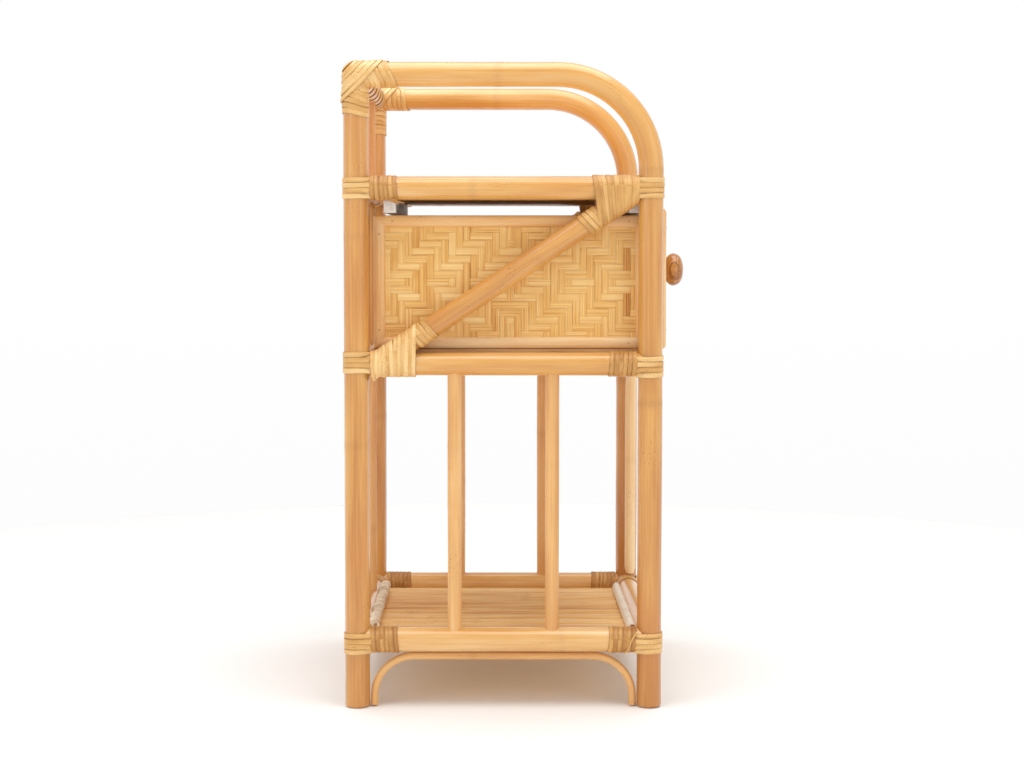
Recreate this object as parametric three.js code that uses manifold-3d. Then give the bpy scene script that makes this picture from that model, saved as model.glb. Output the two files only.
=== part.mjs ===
// Rattan bedside table with one drawer. Millimetres, +Z up, front towards -Y, symmetric about X = 0.
// The origin is on the floor, under the middle of everything the table takes up.
import * as THREE from 'three';
import { ConvexGeometry } from 'three/addons/geometries/ConvexGeometry.js';
import { mergeVertices } from 'three/addons/utils/BufferGeometryUtils.js';
import Module from 'manifold-3d';

// ---- Driving dimensions -------------------------------------------------------------------

const HEIGHT = 644.5; // floor to the top of the top rails
const FRAME_WIDTH = 310; // between the centre lines of the two side frames
const FRAME_DEPTH = 293; // between the centre lines of a back post and a front post

const GALLERY_BAY = 112; // top rails down to table-top rails, centre to centre
const DRAWER_BAY = 175; // table-top rails down to drawer rails, centre to centre
const SHELF_RAIL_Z = 67.5; // height of the shelf rails' centre lines

const POST_D = 25.5; // straight back post
const BENT_POLE_D = 25; // front post and top rail, one bent pole
const RAIL_D = 23.5; // table-top and drawer rails
const SHELF_RAIL_D = 24.5;
const TOP_BEND_R = 93; // centre-line radius of the bend from top rail to front post
const BRACE_D = 21; // diagonal brace beside the drawer
const BRACE_INSET = 20; // from each post's centre line to the brace's end on the rail
const SPINDLE_D = 14;
const HOOP_D = 7.5; // thin cane hoop under each side
const HOOP_BEND_R = 40;
const HOOP_FOOT = 1; // hoop's ends above the floor
const ARCH_D = 12.4; // slim inner arch in the open front
const ARCH_BEND_R = 45;
const ARCH_FORWARD = 3; // how far the inner arch stands in front of the post centres

const BINDING_T = 1.8; // how far a lashing stands off its pole
const RING_SHORT = 1.5; // a lashing's post ring is this much lower than its rail is thick
const COIL_L = 24; // coil of a lashing along a rail
const COIL_START = 0.4; // from the post's face to the coil
const FAN_L = 46; // fan lashing that holds rail and brace
const CAP_DROP = 50; // how far the corner lashing runs down the back post
const CAP_RUN = 40; // how far the corner lashing runs along the top rail

const DECK_T = 12.4; // split poles of shelf and table top
const DECK_PITCH = 25.6; // about one split pole
const SLAT_W = 12; // bearers under the table top
const SLAT_H = 12.6;
const SLAT_INSET_BACK = 32.7; // post centre to bearer centre
const SLAT_INSET_FRONT = 14.4;
const EDGE_STRIP_W = 8.5; // strips over the shelf's ends
const EDGE_STRIP_H = 7;
const RUNNER_W = 17;
const RUNNER_H = 10;

const DRAWER_SIDE_T = 8;
const DRAWER_SIDE_CLEAR = 3.45; // lashed side rail to the drawer side's strips
const DRAWER_TOP_CLEAR = 2.35; // drawer sides to the bearers above them
const DRAWER_BACK_CLEAR = 3.25; // back post's face to the drawer's back
const DRAWER_FRONT_CLEAR = 6.3; // drawer front to the lashed rail above it
const DRAWER_FRONT_T = 14.7; // panel, without its moulding
const DRAWER_FRONT_REACH = 17.5; // moulding's face in front of the post centres
const DRAWER_BACK_T = 8;
const DRAWER_BOTTOM_T = 4;
const DRAWER_BOTTOM_UP = 7; // bottom board above the sides' lower edge
const STRIP_W = 11; // half-round strips round the woven panels
const STRIP_T = 4;
const KNOB_D = 35;
const KNOB_REACH = 31; // in front of the moulding's face
const KNOB_DROP = 63; // below the drawer front's top edge

const GAP = 0.3; // clear air between neighbouring pieces
const SIDES = 16; // facets round a pole

// ---- Derived places -----------------------------------------------------------------------

const TOP_Z = HEIGHT - BENT_POLE_D / 2;
const TABLE_Z = TOP_Z - GALLERY_BAY;
const DRAWER_Z = TABLE_Z - DRAWER_BAY;
const SIDE_X = FRAME_WIDTH / 2;

const BACK_REACH = POST_D / 2 + BINDING_T; // behind the back posts' centre lines
const FRONT_REACH = FRAME_DEPTH + DRAWER_FRONT_REACH + KNOB_REACH;
const MID_DEPTH = (FRONT_REACH - BACK_REACH) / 2;

const SIDE_NAMES = new Map([[-1, 'left'], [1, 'right']]);

/** A point from its side offset, its distance in front of the back posts and its height. */
function at(x, depth, z) {
  return new THREE.Vector3(x, MID_DEPTH - depth, z);
}

// ---- Solids -------------------------------------------------------------------------------

const wasm = await Module();
wasm.setup();

/** Turns a closed geometry into a solid that can be joined and cut. */
function solidOf(geometry) {
  const bare = geometry.clone();
  bare.deleteAttribute('normal');
  bare.deleteAttribute('uv');
  const merged = mergeVertices(bare, 1e-4);
  const mesh = new wasm.Mesh({
    numProp: 3,
    vertProperties: new Float32Array(merged.attributes.position.array),
    triVerts: new Uint32Array(merged.index.array),
  });
  return new wasm.Manifold(mesh);
}

/** Turns a solid back into a geometry. */
function geometryOf(solid) {
  const mesh = solid.getMesh();
  const geometry = new THREE.BufferGeometry();
  geometry.setAttribute('position', new THREE.BufferAttribute(new Float32Array(mesh.vertProperties), 3));
  geometry.setIndex(new THREE.BufferAttribute(new Uint32Array(mesh.triVerts), 1));
  geometry.computeVertexNormals();
  return geometry;
}

/** Joins several geometries, less the cutters, into one. */
function shape(pieces, cutters = []) {
  let solid = solidOf(pieces[0]);
  for (const piece of pieces.slice(1)) {
    solid = solid.add(solidOf(piece));
  }
  for (const cutter of cutters) {
    solid = solid.subtract(solidOf(cutter));
  }
  return geometryOf(solid);
}

/** A straight pole between two points. */
function pole(from, to, diameter) {
  const along = new THREE.Vector3().subVectors(to, from);
  const geometry = new THREE.CylinderGeometry(diameter / 2, diameter / 2, along.length(), SIDES, 1);
  geometry.rotateY(Math.PI / SIDES);
  const up = new THREE.Vector3(0, 1, 0);
  geometry.applyQuaternion(new THREE.Quaternion().setFromUnitVectors(up, along.clone().normalize()));
  const middle = new THREE.Vector3().addVectors(from, to).multiplyScalar(0.5);
  geometry.translate(middle.x, middle.y, middle.z);
  return geometry;
}

/** A path through given stations, with no stations of its own in between. */
class StationPath extends THREE.Curve {
  constructor(stations) {
    super();
    this.stations = stations;
  }

  getPoint(t, target = new THREE.Vector3()) {
    const place = Math.min(Math.max(t, 0), 1) * (this.stations.length - 1);
    const first = Math.min(Math.floor(place), this.stations.length - 2);
    return target.lerpVectors(this.stations[first], this.stations[first + 1], place - first);
  }

  getUtoTmapping(u) {
    return u;
  }
}

/** Stations of a path with rounded corners: straight runs and one arc at each inner corner. */
function roundedStations(corners, radius, steps) {
  const stations = [corners[0]];
  for (let i = 1; i < corners.length - 1; i += 1) {
    const before = new THREE.Vector3().subVectors(corners[i - 1], corners[i]).normalize();
    const after = new THREE.Vector3().subVectors(corners[i + 1], corners[i]).normalize();
    const centre = corners[i].clone().addScaledVector(before, radius).addScaledVector(after, radius);
    for (let step = 0; step <= steps; step += 1) {
      const angle = (step / steps) * (Math.PI / 2);
      const point = centre.clone();
      point.addScaledVector(after, -radius * Math.cos(angle));
      point.addScaledVector(before, -radius * Math.sin(angle));
      stations.push(point);
    }
  }
  stations.push(corners[corners.length - 1]);
  return stations;
}

/** A bent pole with square corners rounded to a radius. */
function bentPole(corners, radius, diameter, sides = SIDES, steps = 8) {
  const outline = new THREE.Shape();
  for (let i = 0; i < sides; i += 1) {
    const angle = ((i + 0.5) / sides) * Math.PI * 2;
    const x = (diameter / 2) * Math.cos(angle);
    const y = (diameter / 2) * Math.sin(angle);
    if (i === 0) {
      outline.moveTo(x, y);
    } else {
      outline.lineTo(x, y);
    }
  }
  outline.closePath();
  const stations = roundedStations(corners, radius, steps);
  return new THREE.ExtrudeGeometry(outline, {
    steps: stations.length - 1,
    extrudePath: new StationPath(stations),
    bevelEnabled: false,
  });
}

/** A box between two depths, two side offsets and two heights. */
function block(x0, x1, depth0, depth1, z0, z1) {
  const geometry = new THREE.BoxGeometry(Math.abs(x1 - x0), Math.abs(depth1 - depth0), Math.abs(z1 - z0));
  const middle = at((x0 + x1) / 2, (depth0 + depth1) / 2, (z0 + z1) / 2);
  geometry.translate(middle.x, middle.y, middle.z);
  return geometry;
}

/** The convex body round a set of poles. */
function wrapOf(poles) {
  const points = [];
  for (const geometry of poles) {
    const place = geometry.attributes.position;
    for (let i = 0; i < place.count; i += 1) {
      points.push(new THREE.Vector3().fromBufferAttribute(place, i));
    }
  }
  return new ConvexGeometry(points);
}

const finishes = new Map([
  ['pole', { color: new THREE.Color(0.78, 0.56, 0.32), roughness: 0.4 }],
  ['slim', { color: new THREE.Color(0.82, 0.66, 0.46), roughness: 0.7 }],
  ['lashing', { color: new THREE.Color(0.86, 0.7, 0.46), roughness: 0.45 }],
  ['deck', { color: new THREE.Color(0.8, 0.6, 0.36), roughness: 0.5 }],
  ['weave', { color: new THREE.Color(0.8, 0.58, 0.3), roughness: 0.55 }],
  ['raw', { color: new THREE.Color(0.84, 0.72, 0.54), roughness: 0.8 }],
  ['knob', { color: new THREE.Color(0.62, 0.4, 0.22), roughness: 0.45 }],
]);

const table = new THREE.Group();
table.name = 'rattan_side_table';
const frame = new THREE.Group();
frame.name = 'frame';
const drawer = new THREE.Group();
drawer.name = 'drawer';
table.add(frame, drawer);

/** Adds one named piece to a group, placed at its own middle, with a material of its own. */
function add(name, finish, geometry, group = frame) {
  const { color, roughness } = finishes.get(finish);
  const material = new THREE.MeshStandardMaterial({ color, roughness, metalness: 0 });
  material.name = `${name}_${finish}`;
  geometry.computeBoundingBox();
  const middle = geometry.boundingBox.getCenter(new THREE.Vector3());
  geometry.translate(-middle.x, -middle.y, -middle.z);
  const mesh = new THREE.Mesh(geometry, material);
  mesh.name = name;
  mesh.position.copy(middle);
  group.add(mesh);
}

// ---- Poles of the frame -------------------------------------------------------------------
// Each function takes how much thicker than real the pole is wanted, so that a neighbour can be
// cut to fit round it with GAP of air.

function backPost(side, extra = 0) {
  const x = side * SIDE_X;
  return pole(at(x, 0, 0), at(x, 0, TOP_Z), POST_D + extra);
}

function bentRail(side, extra = 0) {
  const x = side * SIDE_X;
  const corners = [at(x, -POST_D / 2, TOP_Z), at(x, FRAME_DEPTH, TOP_Z), at(x, FRAME_DEPTH, 0)];
  return bentPole(corners, TOP_BEND_R, BENT_POLE_D + extra);
}

function sideRail(side, z, diameter, extra = 0) {
  const x = side * SIDE_X;
  return pole(at(x, 0, z), at(x, FRAME_DEPTH, z), diameter + extra);
}

function crossRail(depth, z, diameter, extra = 0) {
  return pole(at(-SIDE_X, depth, z), at(SIDE_X, depth, z), diameter + extra);
}

function brace(side, extra = 0) {
  const x = side * SIDE_X;
  const low = at(x, BRACE_INSET, DRAWER_Z);
  const high = at(x, FRAME_DEPTH - BRACE_INSET / 2, TABLE_Z);
  return pole(low, high, BRACE_D + extra);
}

const GROWN = GAP * 2; // on a diameter

const sideRails = [
  ['table_rail', TABLE_Z, RAIL_D],
  ['drawer_rail', DRAWER_Z, RAIL_D],
  ['shelf_rail', SHELF_RAIL_Z, SHELF_RAIL_D],
];

for (const [side, sideName] of SIDE_NAMES) {
  add(`back_post_${sideName}`, 'pole', shape([backPost(side)], [bentRail(side, GROWN)]));
  add(`bent_front_post_${sideName}`, 'pole', shape([bentRail(side)]));

  const posts = [backPost(side, GROWN), bentRail(side, GROWN)];
  for (const [name, z, diameter] of sideRails) {
    add(`${name}_${sideName}`, 'pole', shape([sideRail(side, z, diameter)], posts));
  }

  const bayRails = [sideRail(side, TABLE_Z, RAIL_D, GROWN), sideRail(side, DRAWER_Z, RAIL_D, GROWN)];
  add(`brace_${sideName}`, 'pole', shape([brace(side)], [...bayRails, ...posts]));

  const lowRails = [
    sideRail(side, DRAWER_Z, RAIL_D, GROWN),
    sideRail(side, SHELF_RAIL_Z, SHELF_RAIL_D, GROWN),
  ];
  for (const third of [1, 2]) {
    const x = side * SIDE_X;
    const depth = (FRAME_DEPTH * third) / 3;
    const spindle = pole(at(x, depth, SHELF_RAIL_Z), at(x, depth, DRAWER_Z), SPINDLE_D);
    const place = third === 1 ? 'back' : 'front';
    add(`side_spindle_${place}_${sideName}`, 'pole', shape([spindle], lowRails));
  }

  const hoopTop = SHELF_RAIL_Z - SHELF_RAIL_D / 2 - GAP - HOOP_D / 2;
  const hoopBack = POST_D / 2 + GAP + HOOP_D / 2;
  const hoopFront = FRAME_DEPTH - BENT_POLE_D / 2 - GAP - HOOP_D / 2;
  const hoopX = side * SIDE_X;
  const hoopCorners = [
    at(hoopX, hoopBack, HOOP_FOOT),
    at(hoopX, hoopBack, hoopTop),
    at(hoopX, hoopFront, hoopTop),
    at(hoopX, hoopFront, HOOP_FOOT),
  ];
  const hoopBend = Math.min(HOOP_BEND_R, hoopTop - HOOP_FOOT - HOOP_D);
  add(`foot_hoop_${sideName}`, 'slim', shape([bentPole(hoopCorners, hoopBend, HOOP_D, 8, 5)]));
}

/** Everything a cross rail has to stop short of at its two ends. */
function endStops(depth, z, diameter) {
  const stops = [];
  for (const side of SIDE_NAMES.keys()) {
    stops.push(depth === 0 ? backPost(side, GROWN) : bentRail(side, GROWN));
    if (z === TOP_Z) {
      stops.push(bentRail(side, GROWN));
    } else {
      stops.push(sideRail(side, z, diameter, GROWN));
    }
  }
  return stops;
}

const crossRails = [
  ['top_rail_back', 0, TOP_Z, RAIL_D],
  ['table_rail_back', 0, TABLE_Z, RAIL_D],
  ['drawer_rail_back', 0, DRAWER_Z, RAIL_D],
  ['shelf_rail_back', 0, SHELF_RAIL_Z, SHELF_RAIL_D],
  ['table_rail_front', FRAME_DEPTH, TABLE_Z, RAIL_D],
  ['drawer_rail_front', FRAME_DEPTH, DRAWER_Z, RAIL_D],
  ['shelf_rail_front', FRAME_DEPTH, SHELF_RAIL_Z, SHELF_RAIL_D],
];

for (const [name, depth, z, diameter] of crossRails) {
  add(name, 'pole', shape([crossRail(depth, z, diameter)], endStops(depth, z, diameter)));
}

const backBays = [
  ['gallery', TABLE_Z, TOP_Z, RAIL_D, RAIL_D],
  ['bay', DRAWER_Z, TABLE_Z, RAIL_D, RAIL_D],
  ['low', SHELF_RAIL_Z, DRAWER_Z, SHELF_RAIL_D, RAIL_D],
];

for (const [bay, lowZ, highZ, lowD, highD] of backBays) {
  for (const [side, sideName] of SIDE_NAMES) {
    const x = (side * FRAME_WIDTH) / 6;
    const spindle = pole(at(x, 0, lowZ), at(x, 0, highZ), SPINDLE_D);
    const stops = [crossRail(0, lowZ, lowD, GROWN), crossRail(0, highZ, highD, GROWN)];
    add(`back_spindle_${bay}_${sideName}`, 'pole', shape([spindle], stops));
  }
}

// Slim arch standing on the front shelf rail, its legs beside the posts.
const archX = SIDE_X - BENT_POLE_D / 2 - BINDING_T - GAP - ARCH_D / 2;
const archDepth = FRAME_DEPTH + ARCH_FORWARD;
const archTop = DRAWER_Z - RAIL_D / 2 - BINDING_T - GAP - ARCH_D / 2;
const archCorners = [
  at(-archX, archDepth, SHELF_RAIL_Z),
  at(-archX, archDepth, archTop),
  at(archX, archDepth, archTop),
  at(archX, archDepth, SHELF_RAIL_Z),
];
const archFoot = crossRail(FRAME_DEPTH, SHELF_RAIL_Z, SHELF_RAIL_D, (BINDING_T + GAP) * 2);
add('front_arch', 'slim', shape([bentPole(archCorners, ARCH_BEND_R, ARCH_D, 10, 5)], [archFoot]));

// ---- Lashings -----------------------------------------------------------------------------

const WRAP = BINDING_T * 2; // on a diameter

/** A coil along a side rail, starting at a post. */
function sideCoil(side, z, diameter, atFront, length = COIL_L) {
  const x = side * SIDE_X;
  const start = (atFront ? BENT_POLE_D : POST_D) / 2 + COIL_START;
  const near = atFront ? FRAME_DEPTH - start : start;
  const far = atFront ? near - length : near + length;
  return pole(at(x, near, z), at(x, far, z), diameter + WRAP);
}

/** A coil along a cross rail, starting at a post. */
function crossCoil(side, depth, z, diameter) {
  const near = side * (SIDE_X - (depth > 0 ? BENT_POLE_D : POST_D) / 2 - COIL_START);
  const far = near - side * COIL_L;
  return pole(at(near, depth, z), at(far, depth, z), diameter + WRAP);
}

/** A ring round a post at the height of a rail. */
function postRing(side, depth, z, diameter) {
  const x = side * SIDE_X;
  const half = (diameter - RING_SHORT) / 2;
  return pole(at(x, depth, z - half), at(x, depth, z + half), POST_D + WRAP);
}

/** The fan that ties the brace's end to a rail, and the small ring further along the brace. */
function fan(side, atFront) {
  const x = side * SIDE_X;
  const z = atFront ? TABLE_Z : DRAWER_Z;
  const along = at(x, FRAME_DEPTH - BRACE_INSET / 2, TABLE_Z).sub(at(x, BRACE_INSET, DRAWER_Z)).normalize();
  const end = atFront ? at(x, FRAME_DEPTH - BRACE_INSET / 2, TABLE_Z) : at(x, BRACE_INSET, DRAWER_Z);
  const inward = atFront ? -1 : 1;
  const nearBrace = end.clone().addScaledVector(along, inward * 14);
  const farBrace = end.clone().addScaledVector(along, inward * (FAN_L + 6));
  const tieFrom = end.clone().addScaledVector(along, inward * FAN_L);
  const tieTo = end.clone().addScaledVector(along, inward * (FAN_L + 26));
  const hold = wrapOf([
    sideCoil(side, z, RAIL_D, atFront, FAN_L),
    pole(nearBrace, farBrace, BRACE_D + WRAP),
  ]);
  return [hold, pole(tieFrom, tieTo, BRACE_D + WRAP)];
}

/** Lashes every rail that ends at one place on a post. */
function lash(name, side, depth, z, diameter, withFan) {
  const atFront = depth > 0;
  const pieces = [postRing(side, depth, z, diameter), crossCoil(side, depth, z, diameter)];
  const cutters = [
    atFront ? bentRail(side, GROWN) : backPost(side, GROWN),
    sideRail(side, z, diameter, GROWN),
    crossRail(depth, z, diameter, GROWN),
  ];
  if (withFan) {
    pieces.push(...fan(side, atFront));
    cutters.push(brace(side, GROWN));
  } else {
    pieces.push(sideCoil(side, z, diameter, atFront));
  }
  add(name, 'lashing', shape(pieces, cutters));
}

for (const [side, sideName] of SIDE_NAMES) {
  lash(`lashing_table_back_${sideName}`, side, 0, TABLE_Z, RAIL_D, false);
  lash(`lashing_table_front_${sideName}`, side, FRAME_DEPTH, TABLE_Z, RAIL_D, true);
  lash(`lashing_drawer_back_${sideName}`, side, 0, DRAWER_Z, RAIL_D, true);
  lash(`lashing_drawer_front_${sideName}`, side, FRAME_DEPTH, DRAWER_Z, RAIL_D, false);
  lash(`lashing_shelf_back_${sideName}`, side, 0, SHELF_RAIL_Z, SHELF_RAIL_D, false);
  lash(`lashing_shelf_front_${sideName}`, side, FRAME_DEPTH, SHELF_RAIL_Z, SHELF_RAIL_D, false);

  // The corner over the back post is capped, with a coil on the cross rail beside it.
  const x = side * SIDE_X;
  const capSize = BENT_POLE_D + WRAP;
  const cap = [
    pole(at(x, 0, TOP_Z - CAP_DROP + BENT_POLE_D / 2), at(x, 0, TOP_Z), POST_D + WRAP),
    pole(at(x, -BACK_REACH, TOP_Z), at(x, CAP_RUN, TOP_Z), capSize),
    crossCoil(side, 0, TOP_Z, RAIL_D),
  ];
  const inside = [bentRail(side, GROWN), backPost(side, GROWN), crossRail(0, TOP_Z, RAIL_D, GROWN)];
  add(`lashing_corner_${sideName}`, 'lashing', shape(cap, inside));
}

// ---- Shelf and table top ------------------------------------------------------------------

/** A deck of split poles laid front to back, round side up, between the rails. */
function deck(topZ, railD) {
  const clear = railD / 2 + BINDING_T + GAP;
  const half = SIDE_X - clear;
  const count = Math.max(3, Math.round((half * 2) / DECK_PITCH));
  const pitch = (half * 2) / count;
  const outline = new THREE.Shape();
  outline.moveTo(-half, topZ - DECK_T);
  for (let rod = 0; rod < count; rod += 1) {
    const middle = -half + pitch * (rod + 0.5);
    for (const step of [-1, -0.55, 0, 0.55, 1]) {
      const x = middle + (step * pitch) / 2;
      const z = topZ - DECK_T * 0.42 * step * step;
      if (rod === 0 || step > -1) {
        outline.lineTo(x, z);
      }
    }
  }
  outline.lineTo(half, topZ - DECK_T);
  outline.closePath();
  const length = FRAME_DEPTH - clear * 2;
  const geometry = new THREE.ExtrudeGeometry(outline, { depth: length, bevelEnabled: false, steps: 1 });
  geometry.rotateX(Math.PI / 2);
  geometry.translate(0, MID_DEPTH - clear, 0);
  return geometry;
}

const SHELF_TOP = SHELF_RAIL_Z - 1;
const TABLE_TOP = TABLE_Z + 1;
add('bottom_shelf', 'deck', shape([deck(SHELF_TOP, SHELF_RAIL_D)]));
add('table_top', 'deck', shape([deck(TABLE_TOP, RAIL_D)]));

// Strips over the shelf's ends, in the corner between its poles and the cross rails.
const stripHalf = SIDE_X - Math.max(POST_D, BENT_POLE_D) / 2 - COIL_START - COIL_L - GAP;
for (const [place, depth, inward] of [['back', 0, 1], ['front', FRAME_DEPTH, -1]]) {
  const near = depth + inward * (SHELF_RAIL_D / 2 - 5);
  const far = near + inward * EDGE_STRIP_W;
  const strip = block(-stripHalf, stripHalf, near, far, SHELF_TOP + GAP, SHELF_TOP + GAP + EDGE_STRIP_H);
  add(`shelf_edge_${place}`, 'slim', shape([strip], [crossRail(depth, SHELF_RAIL_Z, SHELF_RAIL_D, GROWN)]));
}

// Bearers under the table top, in line with the drawer's top edge.
const bearerHalf = SIDE_X - RAIL_D / 2 - BINDING_T - GAP;
const bearerTop = TABLE_TOP - DECK_T - GAP;
const bearerLow = bearerTop - SLAT_H;
for (const [place, depth] of [['back', SLAT_INSET_BACK], ['front', FRAME_DEPTH - SLAT_INSET_FRONT]]) {
  const near = depth - SLAT_W / 2;
  const slat = block(-bearerHalf, bearerHalf, near, near + SLAT_W, bearerLow, bearerTop);
  const railDepth = place === 'back' ? 0 : FRAME_DEPTH;
  const lashedRail = crossRail(railDepth, TABLE_Z, RAIL_D, (BINDING_T + GAP) * 2);
  add(`top_bearer_${place}`, 'raw', shape([slat], [lashedRail]));
}

// ---- Drawer -------------------------------------------------------------------------------

const runnerOuter = SIDE_X - RAIL_D / 2 - BINDING_T - GAP;
const runnerTop = DRAWER_Z + RAIL_D / 2 + BINDING_T + GAP;
const runnerClear = RAIL_D / 2 + BINDING_T + GAP;
for (const [side, sideName] of SIDE_NAMES) {
  const outer = side * runnerOuter;
  const inner = side * (runnerOuter - RUNNER_W);
  const runner = block(outer, inner, runnerClear, FRAME_DEPTH - runnerClear, runnerTop - RUNNER_H, runnerTop);
  add(`drawer_runner_${sideName}`, 'raw', shape([runner]));
}

const drawerLow = runnerTop + GAP;
const drawerHigh = bearerLow - DRAWER_TOP_CLEAR;
const drawerBack = POST_D / 2 + DRAWER_BACK_CLEAR;
const panelX = SIDE_X - RAIL_D / 2 - BINDING_T - DRAWER_SIDE_CLEAR - STRIP_T;
const innerX = panelX - DRAWER_SIDE_T;
const frontBack = FRAME_DEPTH + DRAWER_FRONT_REACH - STRIP_T - DRAWER_FRONT_T;
const sideFrontEnd = frontBack - GAP;

/** A strip with a rounded face: its cross-section is a flat-backed half round. */
function halfRound(length, width = STRIP_W, thickness = STRIP_T) {
  const outline = new THREE.Shape();
  outline.moveTo(-width / 2, -1);
  outline.lineTo(-width / 2, thickness * 0.25);
  for (const angle of [140, 90, 40]) {
    const turn = THREE.MathUtils.degToRad(angle);
    outline.lineTo((width / 2) * Math.cos(turn), thickness * (0.25 + 0.75 * Math.sin(turn)));
  }
  outline.lineTo(width / 2, thickness * 0.25);
  outline.lineTo(width / 2, -1);
  outline.closePath();
  const geometry = new THREE.ExtrudeGeometry(outline, { depth: length, bevelEnabled: false, steps: 1 });
  geometry.translate(0, 0, -length / 2);
  return geometry;
}

for (const [side, sideName] of SIDE_NAMES) {
  const board = block(side * innerX, side * panelX, drawerBack, sideFrontEnd, drawerLow, drawerHigh);
  const pieces = [board];
  const middle = (drawerBack + sideFrontEnd) / 2;
  for (const z of [drawerLow + STRIP_W / 2, drawerHigh - STRIP_W / 2]) {
    const strip = halfRound(sideFrontEnd - drawerBack);
    strip.rotateX(-Math.PI / 2);
    strip.rotateY((-side * Math.PI) / 2);
    const place = at(side * panelX, middle, z);
    strip.translate(place.x, place.y, place.z);
    pieces.push(strip);
  }
  const upright = halfRound(drawerHigh - drawerLow);
  upright.rotateZ((-side * Math.PI) / 2);
  const foot = at(side * panelX, drawerBack + STRIP_W / 2, (drawerLow + drawerHigh) / 2);
  upright.translate(foot.x, foot.y, foot.z);
  pieces.push(upright);
  add(`drawer_side_${sideName}`, 'weave', shape(pieces), drawer);
}

const backHigh = drawerHigh - 8;
const backFace = drawerBack + DRAWER_BACK_T;
const inside = innerX - GAP;
const backBoard = block(-inside, inside, drawerBack, backFace, drawerLow, backHigh);
add('drawer_back', 'weave', shape([backBoard]), drawer);

const bottomLow = drawerLow + DRAWER_BOTTOM_UP;
const bottom = block(-inside, inside, backFace + GAP, sideFrontEnd, bottomLow, bottomLow + DRAWER_BOTTOM_T);
add('drawer_bottom', 'raw', shape([bottom]), drawer);

// Front: a panel with a rounded moulding round its edge, standing a little in front of the posts.
const frontLow = drawerLow;
const frontHigh = TABLE_Z - RAIL_D / 2 - BINDING_T - DRAWER_FRONT_CLEAR;
const frontHalf = SIDE_X - BENT_POLE_D / 2 - BINDING_T - GAP;
const panelFace = frontBack + DRAWER_FRONT_T;
const frontPieces = [block(-frontHalf, frontHalf, frontBack, panelFace, frontLow, frontHigh)];
for (const z of [frontLow + STRIP_W / 2, frontHigh - STRIP_W / 2]) {
  const strip = halfRound(frontHalf * 2);
  strip.rotateY(Math.PI / 2);
  strip.rotateX(Math.PI);
  const place = at(0, panelFace, z);
  strip.translate(place.x, place.y, place.z);
  frontPieces.push(strip);
}
for (const side of SIDE_NAMES.keys()) {
  const strip = halfRound(frontHigh - frontLow);
  strip.rotateZ(Math.PI);
  const place = at(side * (frontHalf - STRIP_W / 2), panelFace, (frontLow + frontHigh) / 2);
  strip.translate(place.x, place.y, place.z);
  frontPieces.push(strip);
}
add('drawer_front', 'weave', shape(frontPieces), drawer);

// Knob: a turned neck and a rounded disc.
const knobLength = STRIP_T + KNOB_REACH - GAP;
const knobProfile = [
  [0, 0],
  [0.5, 0],
  [0.46, 0.12],
  [0.4, 0.3],
  [0.6, 0.42],
  [0.94, 0.56],
  [1, 0.7],
  [0.92, 0.86],
  [0.62, 0.97],
  [0, 1],
];
const knobPoints = knobProfile.map(([r, t]) => new THREE.Vector2((r * KNOB_D) / 2, t * knobLength));
const knob = new THREE.LatheGeometry(knobPoints, 24);
knob.rotateX(Math.PI);
const knobPlace = at(0, panelFace + GAP, frontHigh - KNOB_DROP);
knob.translate(knobPlace.x, knobPlace.y, knobPlace.z);
add('drawer_knob', 'knob', shape([knob]), drawer);

export default table;
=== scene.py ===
"""Looks of a small rattan bedside table with one woven drawer.

Lengths are in metres, +Z is up and the table's front faces -Y. The left side frame
stands at negative X. Depth is counted from the back posts' centre lines towards the front.
"""

import logging
import math
from collections.abc import Callable, Sequence
from dataclasses import dataclass, field
from enum import Enum
from typing import ClassVar

import bmesh
import bpy
import numpy as np
from mathutils import Matrix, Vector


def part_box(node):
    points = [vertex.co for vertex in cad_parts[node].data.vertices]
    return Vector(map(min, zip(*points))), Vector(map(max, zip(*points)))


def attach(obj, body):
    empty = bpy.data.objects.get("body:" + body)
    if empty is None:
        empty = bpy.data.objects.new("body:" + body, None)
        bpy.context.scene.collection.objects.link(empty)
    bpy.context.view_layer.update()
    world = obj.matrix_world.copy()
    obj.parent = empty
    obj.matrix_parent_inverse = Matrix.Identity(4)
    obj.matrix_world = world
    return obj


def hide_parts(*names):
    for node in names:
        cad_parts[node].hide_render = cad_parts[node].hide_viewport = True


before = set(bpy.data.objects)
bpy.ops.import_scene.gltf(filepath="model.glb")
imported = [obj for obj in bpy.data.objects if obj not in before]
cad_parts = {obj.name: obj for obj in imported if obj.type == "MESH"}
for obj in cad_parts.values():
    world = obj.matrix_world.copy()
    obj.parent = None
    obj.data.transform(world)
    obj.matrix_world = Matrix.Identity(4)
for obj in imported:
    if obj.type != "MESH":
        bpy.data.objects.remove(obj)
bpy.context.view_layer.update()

log = logging.getLogger("bedside_table")

Chart = tuple[float, float, float]
FORWARD = np.array([0.0, -1.0, 0.0])
UP = np.array([0.0, 0.0, 1.0])
ACROSS = np.array([1.0, 0.0, 0.0])
CREASE = 38.0
FULL_TURN = 2 * math.pi


# ---- Options ------------------------------------------------------------------------------


class Side(Enum):
    """The two side frames, by the sign of X."""

    LEFT = -1
    RIGHT = 1

    @property
    def word(self) -> str:
        """The side's name as the parts spell it."""
        return self.name.lower()


class Body(Enum):
    """The bodies that pieces move with."""

    FRAME = "frame"
    DRAWER = "drawer"


# ---- Small helpers ------------------------------------------------------------------------


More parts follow.
